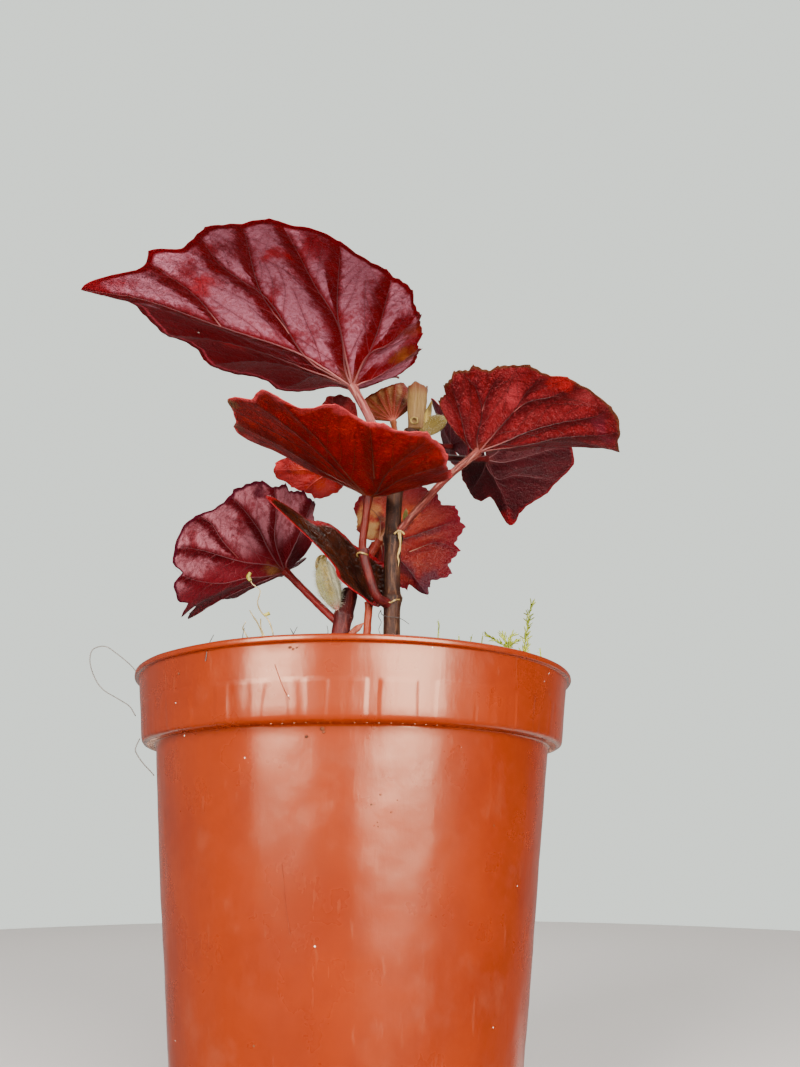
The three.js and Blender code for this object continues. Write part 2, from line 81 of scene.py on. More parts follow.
# Each light: name, azimuth from the camera's side, height of its middle, distance, width, height,
# and radiance. The two windows reach below the table's height, as their reflections in the pot do.
LIGHTS = [
    ("window_left", -37.5, 0.24, 0.8, 0.34, 0.54, 28.0),
    ("window_right", 26, 0.16, 0.8, 0.54, 0.56, 22.0),
    ("ceiling", 150, 0.95, 0.35, 0.9, 0.7, 3.5),
    ("table_glow", 168, -0.33, 0.42, 0.9, 0.5, 0.9),
    ("wall_left", -105, 0.05, 0.9, 0.8, 0.9, 0.2),
]
LIGHT_TINT = (1, 0.92, 0.85)
LIGHT_AIM = Vector((0, 0, 0.07))
ROOM_FRONT = 0.13
ROOM_BACK = 0.45
ROOM_TURNS_AT = (0.6, 0.92)
ROOM_TINT = (1.0, 0.97, 0.94, 1)
BACKDROP_TURNS = 16


def link(obj):
    scene.collection.objects.link(obj)
    return obj


def make_camera():
    data = bpy.data.cameras.new("camera")
    data.sensor_width = SENSOR
    data.lens = SENSOR * FOCAL_PIXELS / LONG_SIDE_PIXELS
    data.clip_start = 0.01
    camera = link(bpy.data.objects.new("camera", data))
    camera.location = CAMERA_AT
    turn = (math.radians(90 + CAMERA_PITCH), 0, -math.radians(CAMERA_PAN))
    camera.rotation_euler = turn
    scene.camera = camera


def make_lights():
    world = bpy.data.worlds.new("room")
    world.use_nodes = True
    room = Nodes(world.node_tree)
    way = room.shade("SeparateXYZ", {0: room.shade("TexCoord").outputs["Generated"]})
    inputs = {"Value": way.outputs["Y"], "From Min": ROOM_TURNS_AT[0], "From Max": ROOM_TURNS_AT[1]}
    span = {"To Min": ROOM_FRONT, "To Max": ROOM_BACK}
    strength = room.shade("MapRange", {**inputs, **span}, interpolation_type="SMOOTHSTEP")
    background = world.node_tree.nodes["Background"].inputs
    room.fill(background["Color"], ROOM_TINT)
    room.fill(background["Strength"], strength)
    scene.world = world
    for name, azimuth, height, distance, width, tall, radiance in LIGHTS:
        data = bpy.data.lights.new(name, "AREA")
        data.shape = "RECTANGLE"
        data.size, data.size_y = width, tall
        data.energy = radiance * math.pi * width * tall
        data.color = LIGHT_TINT
        light = link(bpy.data.objects.new(name, data))
        angle = math.radians(azimuth)
        light.location = (distance * math.sin(angle), -distance * math.cos(angle), height)
        light.rotation_euler = (light.location - LIGHT_AIM).to_track_quat("Z", "Y").to_euler()
        light.visible_camera = False


def ring_faces(rows, sides, first=0):
    """The faces of a body whose points follow one another ring by ring, from this first point on."""
    faces = []
    for row in range(rows):
        low, high = first + row * sides, first + (row + 1) * sides
        for k in range(sides):
            j = (k + 1) % sides
            faces.append((low + k, low + j, high + j, high + k))
    return faces


def turned(profile, sides):
    """Points and faces of a profile of (radius, height) turned about Z, open at its ends."""
    angles = np.arange(sides) * 2 * math.pi / sides
    points = [(r * math.cos(t), r * math.sin(t), z) for r, z in profile for t in angles]
    return points, ring_faces(len(profile) - 1, sides)


def make_stage():
    """A round floor, and round it a camera-only backdrop that curves up with no edge."""
    board = Finish("floor_board", 0.9, Specular_IOR_Level=0.2, Base_Color=FLOOR_COLOUR)
    wall = Finish("wall_paint", 0.9, Specular_IOR_Level=0.0, Base_Color=(0, 0, 0, 1),
                  Emission_Color=WALL_GLOW, Emission_Strength=1.0)
    floor = new_mesh("floor", *turned([(0.0001, 0), (FLOOR_RADIUS, 0)], 64), board.material)
    floor.visible_shadow = False
    floor.visible_glossy = False
    bend = []
    for angle in np.linspace(0, math.pi / 2, BACKDROP_TURNS + 1):
        reach = STAGE_RADIUS - STAGE_FILLET + STAGE_FILLET * math.sin(angle)
        bend.append((reach, STAGE_FILLET * (1 - math.cos(angle))))
    profile = [(FLOOR_RADIUS, 0), *bend, (STAGE_RADIUS, STAGE_HEIGHT)]
    backdrop = new_mesh("backdrop", *turned(profile, 96), wall.material)
    backdrop.visible_diffuse = False
    backdrop.visible_glossy = False
    backdrop.visible_transmission = False
    backdrop.visible_shadow = False
    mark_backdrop(floor, backdrop)


# Node helpers


def srgb(red, green, blue):
    """A colour given in the 0 to 255 of a screen, as the linear values that shaders use."""
    def linear(value):
        share = value / 255
        return share / 12.92 if share <= 0.04045 else ((share + 0.055) / 1.055) ** 2.4
    return (linear(red), linear(green), linear(blue), 1)


class Nodes:
    """A node tree in the making. A node given as an input stands for its first output, and three
    numbers given for a colour are the 0 to 255 of a screen."""

    def __init__(self, tree):
        self.tree = tree

    def fill(self, socket, value):
        if isinstance(value, bpy.types.Node):
            value = value.outputs[0]
        if isinstance(value, bpy.types.NodeSocket):
            self.tree.links.new(value, socket)
        elif socket.type == "RGBA" and len(value) == 3:
            socket.default_value = srgb(*value)
        else:
            socket.default_value = value

    def add(self, kind, inputs=None, **settings):
        """A node with its settings made and its inputs set to values or linked."""
        made = self.tree.nodes.new(kind)
        for name, value in settings.items():
            setattr(made, name, value)
        for key, value in (inputs or {}).items():
            self.fill(made.inputs[key], value)
        return made

    def shade(self, kind, inputs=None, **settings):
        return self.add("ShaderNode" + kind, inputs, **settings)

    def geo(self, kind, inputs=None, **settings):
        return self.add("GeometryNode" + kind, inputs, **settings)

    def calc(self, operation, first, second=0.0, third=0.0, clamp=False):
        inputs = {0: first, 1: second, 2: third}
        return self.shade("Math", inputs, operation=operation, use_clamp=clamp)

    def times(self, first, second, clamp=False):
        return self.calc("MULTIPLY", first, second, clamp=clamp)

    def plus(self, first, second):
        return self.calc("ADD", first, second)

    def minus(self, first, second, clamp=False):
        return self.calc("SUBTRACT", first, second, clamp=clamp)

    def above(self, value, limit):
        return self.calc("GREATER_THAN", value, limit)

    def blend(self, factor, first, second):
        inputs = {0: factor, 6: first, 7: second}
        return self.shade("Mix", inputs, data_type="RGBA").outputs[2]

    def paint(self, tone, colour, mask, share=None):
        """The colour laid over a tone where the mask is 1, at this share of it."""
        return self.blend(mask if share is None else self.times(mask, share), tone, colour)

    def step(self, value, low, high):
        """0 below low, 1 above high and smooth between, or the other way round if low is higher."""
        inputs = {"Value": value, "From Min": low, "From Max": high}
        return self.shade("MapRange", inputs, interpolation_type="SMOOTHSTEP")

    def noise(self, place, size, detail=2.0, roughness=0.5):
        inputs = {"Vector": place, "Scale": 1 / size, "Detail": detail, "Roughness": roughness}
        return self.shade("TexNoise", inputs)

    def cells(self, place, per_metre):
        """Round cells, and the chances that are each cell's own."""
        made = self.shade("TexVoronoi", {"Vector": place, "Scale": per_metre}).outputs
        return made, self.shade("SeparateColor", {"Color": made["Color"]}).outputs


SOCKET_KINDS = {float: "Float", int: "Int", tuple: "Vector"}


class Group(Nodes):
    """A node group in the making. Each input is a kind of socket, or the value that it starts from."""

    def __init__(self, name, kind, inputs, outputs):
        super().__init__(bpy.data.node_groups.new(name, kind))
        sockets = self.tree.interface
        for label, value in inputs.items():
            kind = value if isinstance(value, str) else SOCKET_KINDS[type(value)]
            socket = sockets.new_socket(label, in_out="INPUT", socket_type="NodeSocket" + kind)
            if kind != value:
                socket.default_value = value
        for label, kind in outputs.items():
            sockets.new_socket(label, in_out="OUTPUT", socket_type="NodeSocket" + kind)
        self.given = self.add("NodeGroupInput").outputs
        self.out = self.add("NodeGroupOutput").inputs


def make_mottle_group():
    """Two tones in soft patches, with a finer break-up of the same two."""
    inputs = {"Place": "Vector", "Patches per metre": 150.0, "Dark": "Color", "Light": "Color"}
    g = Group("mottle", "ShaderNodeTree", inputs, {"Color": "Color"})
    place, patches = g.given["Place"], g.given["Patches per metre"]
    large = g.shade("TexNoise", {"Vector": place, "Scale": patches, "Detail": 3.0})
    small = g.shade("TexNoise", {"Vector": place, "Scale": g.times(patches, 7.0)})
    share = g.step(g.plus(g.times(large, 0.75), g.times(small, 0.25)), 0.36, 0.64)
    g.fill(g.out["Color"], g.blend(share, g.given["Dark"], g.given["Light"]))
    return g.tree


def make_specks_group():
    """Small round spots, each its own size, at a number per metre; Amount is the share that shows."""
    inputs = {"Place": "Vector", "Spots per metre": 1000.0, "Amount": 0.2, "Spread": 0.3}
    g = Group("specks", "ShaderNodeTree", inputs, {"Mask": "Float"})
    cells, chance = g.cells(g.given["Place"], g.given["Spots per metre"])
    shown = g.calc("LESS_THAN", chance["Red"], g.given["Amount"])
    reach = g.times(g.given["Spread"], g.plus(chance["Green"], 0.4))
    spot = g.minus(1.0, g.calc("DIVIDE", cells["Distance"], reach), clamp=True)
    g.fill(g.out["Mask"], g.times(spot, shown))
    return g.tree


def make_net_group():
    """The fine net of small veins: thin lines between cells, and the height of the cells."""
    inputs = {"Place": "Vector", "Cells per metre": 400.0, "Line": 0.09}
    g = Group("net", "ShaderNodeTree", inputs, {"Mask": "Float", "Height": "Float"})
    inputs = {"Vector": g.given["Place"], "Scale": g.given["Cells per metre"]}
    edge = g.shade("TexVoronoi", inputs, feature="DISTANCE_TO_EDGE").outputs["Distance"]
    g.fill(g.out["Mask"], g.minus(1.0, g.calc("DIVIDE", edge, g.given["Line"]), clamp=True))
    g.fill(g.out["Height"], g.step(edge, 0.0, 0.35))
    return g.tree


def make_velvet_group():
    """The grain of tiny raised cells that makes a leaf look like velvet: a height, and few glints."""
    inputs = {"Place": "Vector", "Cells per metre": 3000.0}
    g = Group("velvet grain", "ShaderNodeTree", inputs, {"Height": "Float", "Glint": "Float"})
    cells, chance = g.cells(g.given["Place"], g.given["Cells per metre"])
    dome = g.minus(1.0, cells["Distance"], clamp=True)
    g.fill(g.out["Height"], g.times(dome, g.plus(chance["Red"], 0.4)))
    g.fill(g.out["Glint"], g.above(chance["Green"], 0.86))
    return g.tree


MOTTLE = make_mottle_group()
SPECKS = make_specks_group()
NET = make_net_group()
VELVET = make_velvet_group()
NET_CELLS = 620.0
NET_LINE = 0.14


class Finish(Nodes):
    """A material in the making: its tree, its Principled shader and a chain of bumps."""

    def __init__(self, name, roughness=0.5, **sockets):
        self.material = bpy.data.materials.new(name)
        self.material.use_nodes = True
        super().__init__(self.material.node_tree)
        self.tree.nodes.clear()
        self.output = self.shade("OutputMaterial")
        self.shader = self.shade("BsdfPrincipled")
        self.set("Roughness", roughness)
        for label, value in sockets.items():
            self.set(label.replace("_", " "), value)
        self.fill(self.output.inputs["Surface"], self.shader)
        self.bent = {}

    def set(self, label, value):
        self.fill(self.shader.inputs[label], value)

    def place(self):
        return self.shade("TexCoord").outputs["Object"]

    def reading(self, name, output="Fac"):
        return self.shade("Attribute", attribute_name=name).outputs[output]

    def use(self, group, **inputs):
        """A shader group placed in the tree, with its inputs by name (a _ in a name is a space)."""
        named = {key.replace("_", " "): value for key, value in inputs.items()}
        return self.add("ShaderNodeGroup", named, node_tree=group).outputs

    def mottle(self, place, per_metre, dark, light):
        return self.use(MOTTLE, Place=place, Patches_per_metre=per_metre, Dark=dark, Light=light)["Color"]

    def specks(self, place, per_metre, amount, spread):
        return self.use(SPECKS, Place=place, Spots_per_metre=per_metre, Amount=amount, Spread=spread)["Mask"]

    def velvet(self, place, per_metre):
        return self.use(VELVET, Place=place, Cells_per_metre=per_metre)

    def net(self, place):
        return self.use(NET, Place=place, Cells_per_metre=NET_CELLS, Line=NET_LINE)

    def bump(self, height, depth):
        bump = self.shade("Bump", {"Height": height, "Distance": depth, **self.bent})
        self.bent = {"Normal": bump}
        self.set("Normal", bump)

    def glow(self, colour, share):
        """Light from behind shows through: a share of a Translucent shader in this colour."""
        through = self.shade("BsdfTranslucent", {"Color": colour, **self.bent})
        mixed = self.shade("MixShader", {0: share, 1: self.shader, 2: through})
        self.fill(self.output.inputs["Surface"], mixed)


# Mesh helpers


def new_mesh(name, points, faces, *materials, edges=(), smooth=True):
    mesh = bpy.data.meshes.new(name)
    mesh.from_pydata([tuple(point) for point in points], list(edges), list(faces))
    for material in materials:
        mesh.materials.append(material)
    if faces:
        mesh.polygons.foreach_set("use_smooth", [smooth] * len(mesh.polygons))
    mesh.update()
    return link(bpy.data.objects.new(name, mesh))


def mark(obj, name, values, kind="FLOAT"):
    """Stores one value, or one vector, for each vertex."""
    attribute = obj.data.attributes.new(name, kind, "POINT")
    key = "value" if kind == "FLOAT" else "vector"
    attribute.data.foreach_set(key, np.asarray(values, np.float32).ravel())


def finish_piece(obj, slot, *nodes):
    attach(obj, "root")
    if nodes:
        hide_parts(*nodes)
    return obj


def outward(obj):
    """Merges doubles and turns all faces outwards."""
    body = bmesh.new()
    body.from_mesh(obj.data)
    bmesh.ops.remove_doubles(body, verts=body.verts, dist=1e-6)
    bmesh.ops.recalc_face_normals(body, faces=body.faces)
    body.to_mesh(obj.data)
    body.free()
    return obj


def lattice_noise(x, y, size, seed):
    """Smooth noise from -1 to 1 over a plane, with features of this size."""
    grid = np.random.default_rng(seed).uniform(-1, 1, (64, 64))
    u, v = np.asarray(x) / size + 32, np.asarray(y) / size + 32
    i, j = np.floor(u).astype(int), np.floor(v).astype(int)
    s, t = u - i, v - j
    s, t = s * s * (3 - 2 * s), t * t * (3 - 2 * t)
    corner = lambda m, n: grid[(i + m) % 64, (j + n) % 64]
    low = corner(0, 0) * (1 - s) + corner(1, 0) * s
    high = corner(0, 1) * (1 - s) + corner(1, 1) * s
    return low * (1 - t) + high * t


def hermite(t, start, way_out, end, way_in):
    """A smooth curve's place at t from 0 to 1, between two places and their ways."""
    t2, t3 = t * t, t * t * t
    return ((2 * t3 - 3 * t2 + 1) * start + (t3 - 2 * t2 + t) * way_out
            + (3 * t2 - 2 * t3) * end + (t3 - t2) * way_in)


def smooth_path(points, steps):
    """A centripetal Catmull-Rom curve through the points, as the model's stems follow."""
    points = np.asarray(points, float)
    ends = (2 * points[0] - points[1], 2 * points[-1] - points[-2])
    knots = np.vstack([ends[0], points, ends[1]])
    path = []
    for k in range(len(points) - 1):
        p = knots[k:k + 4]
        gaps = [max(np.linalg.norm(p[m + 1] - p[m]) ** 0.5, 1e-6) for m in range(3)]
        before = (p[1] - p[0]) / gaps[0] - (p[2] - p[0]) / (gaps[0] + gaps[1]) + (p[2] - p[1]) / gaps[1]
        after = (p[2] - p[1]) / gaps[1] - (p[3] - p[1]) / (gaps[1] + gaps[2]) + (p[3] - p[2]) / gaps[2]
        before, after = before * gaps[1], after * gaps[1]
        for t in np.linspace(0, 1, steps, endpoint=False):
            path.append(hermite(t, p[1], before, p[2], after))
    path.append(points[-1])
    return np.array(path)


# Geometry node trees


class GrowTree(Group):
    """A Geometry Nodes tree that grows things on a base mesh and dresses them in one material."""

    def __init__(self, name, **inputs):
        named = {label.replace("_", " "): value for label, value in inputs.items()}
        sockets = {"Geometry": "Geometry", **named, "Material": "Material"}
        super().__init__(name, "GeometryNodeTree", sockets, {"Geometry": "Geometry"})

    def scaled(self, vector, factor):
        return self.shade("VectorMath", {0: vector, "Scale": factor}, operation="SCALE")

    def random_vector(self, low, high):
        inputs = {0: low, 1: high, "Seed": self.given["Seed"]}
        return self.add("FunctionNodeRandomValue", inputs, data_type="FLOAT_VECTOR")

    def random_number(self, low, high):
        inputs = {2: low, 3: high, "Seed": self.given["Seed"]}
        return self.add("FunctionNodeRandomValue", inputs, data_type="FLOAT").outputs[1]

    def aimed(self, way):
        return self.add("FunctionNodeAlignRotationToVector", {"Vector": way}, axis="Z")

    def named(self, name, kind="FLOAT"):
        return self.geo("InputNamedAttribute", {"Name": name}, data_type=kind)

    def ball(self, radius, detail):
        return self.geo("MeshIcoSphere", {"Radius": radius, "Subdivisions": detail})

    def lines(self):
        return self.geo("MeshToCurve", {"Mesh": self.given["Geometry"]})

    def tube(self, curve, sides, girth):
        """A closed round stem along the curve, as thick as its girth."""
        even = self.geo("SetCurveRadius", {"Curve": curve, "Radius": 1.0})
        ring = self.geo("CurvePrimitiveCircle", {"Resolution": sides, "Radius": 1.0})
        inputs = {"Curve": even, "Profile Curve": ring, "Scale": girth, "Fill Caps": True}
        return self.geo("CurveToMesh", inputs)

    def spots(self, density, **chosen):
        """Points strewn over the base's faces, as many as the named input asks for."""
        inputs = {"Mesh": self.given["Geometry"], "Density": self.given[density]}
        inputs = {**inputs, "Seed": self.given["Seed"], **chosen}
        return self.geo("DistributePointsOnFaces", inputs)

    def scatter(self, points, thing, turn, size=(1, 1, 1)):
        inputs = {"Points": points, "Instance": thing, "Rotation": turn, "Scale": size}
        return self.geo("InstanceOnPoints", inputs)

    def finish(self, geometry):
        real = self.geo("RealizeInstances", {"Geometry": geometry})
        dressed = self.geo("SetMaterial", {"Geometry": real, "Material": self.given["Material"]})
        self.fill(self.out["Geometry"], dressed)
        return self.tree


def grow(name, base, tree, **values):
    """Runs a node tree on a base mesh and keeps what it makes as a plain mesh object."""
    holder = link(bpy.data.objects.new(name, base))
    modifier = holder.modifiers.new("grow", "NODES")
    modifier.node_group = tree
    for item in tree.interface.items_tree:
        key = item.name.replace(" ", "_").lower()
        if item.in_out == "INPUT" and key in values:
            modifier[item.identifier] = values[key]
    depsgraph = bpy.context.evaluated_depsgraph_get()
    made = bpy.data.meshes.new_from_object(
        holder.evaluated_get(depsgraph), preserve_all_data_layers=True, depsgraph=depsgraph)
    holder.modifiers.remove(modifier)
    holder.data = made
    made.name = name
    return holder


FULL_TURN = 6.28


def make_stem_tree():
    """A round stem along each line of the base, as thick as its girth, with low lumps."""
    g = GrowTree("stem along a path", Sides=16, Lump_height=0.0, Lumps_per_metre=400.0)
    skin = g.tube(g.lines(), g.given["Sides"], g.named("girth"))
    lumps = g.shade("TexNoise", {"Scale": g.given["Lumps per metre"], "Detail": 2.0})
    height = g.times(g.minus(lumps, 0.5), g.given["Lump height"])
    offset = g.scaled(g.geo("InputNormal"), height)
    moved = g.geo("SetPosition", {"Geometry": skin, "Offset": offset})
    return g.finish(g.geo("SetShadeSmooth", {"Geometry": moved}))


def make_hair_tree():
    """Fine curved hairs on the faces of the base, standing off them and leaning at random."""
    g = GrowTree("hairs", Hairs_per_square_metre=1e6, Length=0.001, Slimness=0.03, Lean=0.6, Curl=0.3,
                 Seed=1)
    spots = g.spots("Hairs per square metre")
    tip = g.shade("CombineXYZ", {"X": g.given["Curl"], "Z": 1.0})
    bend = {"Resolution": 4, "Start": (0, 0, 0), "Middle": (0, 0, 0.6), "End": tip}
    line = g.geo("CurveQuadraticBezier", bend)
    way = g.geo("SplineParameter").outputs["Factor"]
    hair = g.tube(line, 3, g.times(g.minus(1.05, way), g.given["Slimness"]))
    wide = g.scaled((1, 1, 0), g.given["Lean"])
    spin = g.shade("VectorMath", {0: wide, 1: (0, 0, FULL_TURN)}, operation="ADD")
    turn = g.random_vector(g.scaled(wide, -1.0), spin)
    facing = {"Rotation": spots.outputs["Rotation"], "Rotate By": turn}
    aimed = g.add("FunctionNodeRotateRotation", facing, rotation_space="LOCAL")
    size = g.times(g.random_number(0.45, 1.0), g.given["Length"])
    return g.finish(g.scatter(spots, hair, aimed, size))


def make_crumb_tree():
    """Rough grains scattered on the upward faces of the base, turned and sized at random."""
    g = GrowTree("grains", Grains_per_square_metre=1e6, Smallest=0.0003, Largest=0.001,
                 Stretch=(1, 1, 1), Roughness=0.5, Detail=1, Upward=0.4, Seed=1)
    height = g.shade("SeparateXYZ", {0: g.geo("InputNormal")}).outputs["Z"]
    inputs = {0: height, 1: g.given["Upward"]}
    chosen = g.add("FunctionNodeCompare", inputs, operation="GREATER_THAN")
    spots = g.spots("Grains per square metre", Selection=chosen)
    knocks = g.scaled(g.random_vector((-1, -1, -1), (1, 1, 1)), g.given["Roughness"])
    rough = g.geo("SetPosition", {"Geometry": g.ball(1.0, g.given["Detail"]), "Offset": knocks})
    shaped = g.geo("Transform", {"Geometry": rough, "Scale": g.given["Stretch"]})
    turn = g.random_vector((0, 0, 0), (FULL_TURN, FULL_TURN, FULL_TURN))
    size = g.random_number(g.given["Smallest"], g.given["Largest"])
    return g.finish(g.scatter(spots, shaped, turn, size))


STEM_TREE = make_stem_tree()
HAIR_TREE = make_hair_tree()
CRUMB_TREE = make_crumb_tree()


def path_mesh(name, paths):
    """A mesh of lines, each a path of points in millimetres with a girth and a way along it."""
    points, edges, girths, ways = [], [], [], []
    for path, girth in paths:
        start = len(points)
        points.extend(np.asarray(path) * MM)
        edges.extend((start + i, start + i + 1) for i in range(len(path) - 1))
        girths.extend(np.broadcast_to(np.asarray(girth) * MM, len(path)))
        ways.extend(np.linspace(0, 1, len(path)))
    mesh = bpy.data.meshes.new(name)
    mesh.from_pydata([tuple(point) for point in points], edges, [])
    for label, values in (("girth", girths), ("way", ways)):
        mesh.attributes.new(label, "FLOAT", "POINT").data.foreach_set("value", np.array(values, np.float32))
    return mesh


def stem_piece(name, paths, material, slot, *nodes, sides=16, lump=0.0, lumps=400.0):
    base = path_mesh(name, paths)
    obj = grow(name, base, STEM_TREE, sides=sides, lump_height=lump, lumps_per_metre=lumps,
               material=material)
    return finish_piece(outward(obj), slot, *nodes)


def hairs_on(name, meshes, material, slot, per_square_mm, length, seed, slimness=0.03, lean=0.6, curl=0.3):
    """Hairs over one or more mesh pieces, joined as one piece."""
    base = bmesh.new()
    for mesh in meshes:
        base.from_mesh(mesh)
    skin = bpy.data.meshes.new(name)
    base.to_mesh(skin)
    base.free()
    obj = grow(name, skin, HAIR_TREE, hairs_per_square_metre=per_square_mm * 1e6, length=length * MM,
               slimness=slimness, lean=lean, curl=curl, seed=seed, material=material)
    return finish_piece(obj, slot)


# The leaves. Each is given as the solids have it: the junction of blade and stalk, the way that the
# main vein points, how the blade climbs, folds, sags and waves, its teeth, and its outline as a
# length in mm at angles from the main vein. A rib is a main vein, as points of an angle and a share
# of the way out from the junction to the edge. A cut in the edge has an angle, a width and a depth.

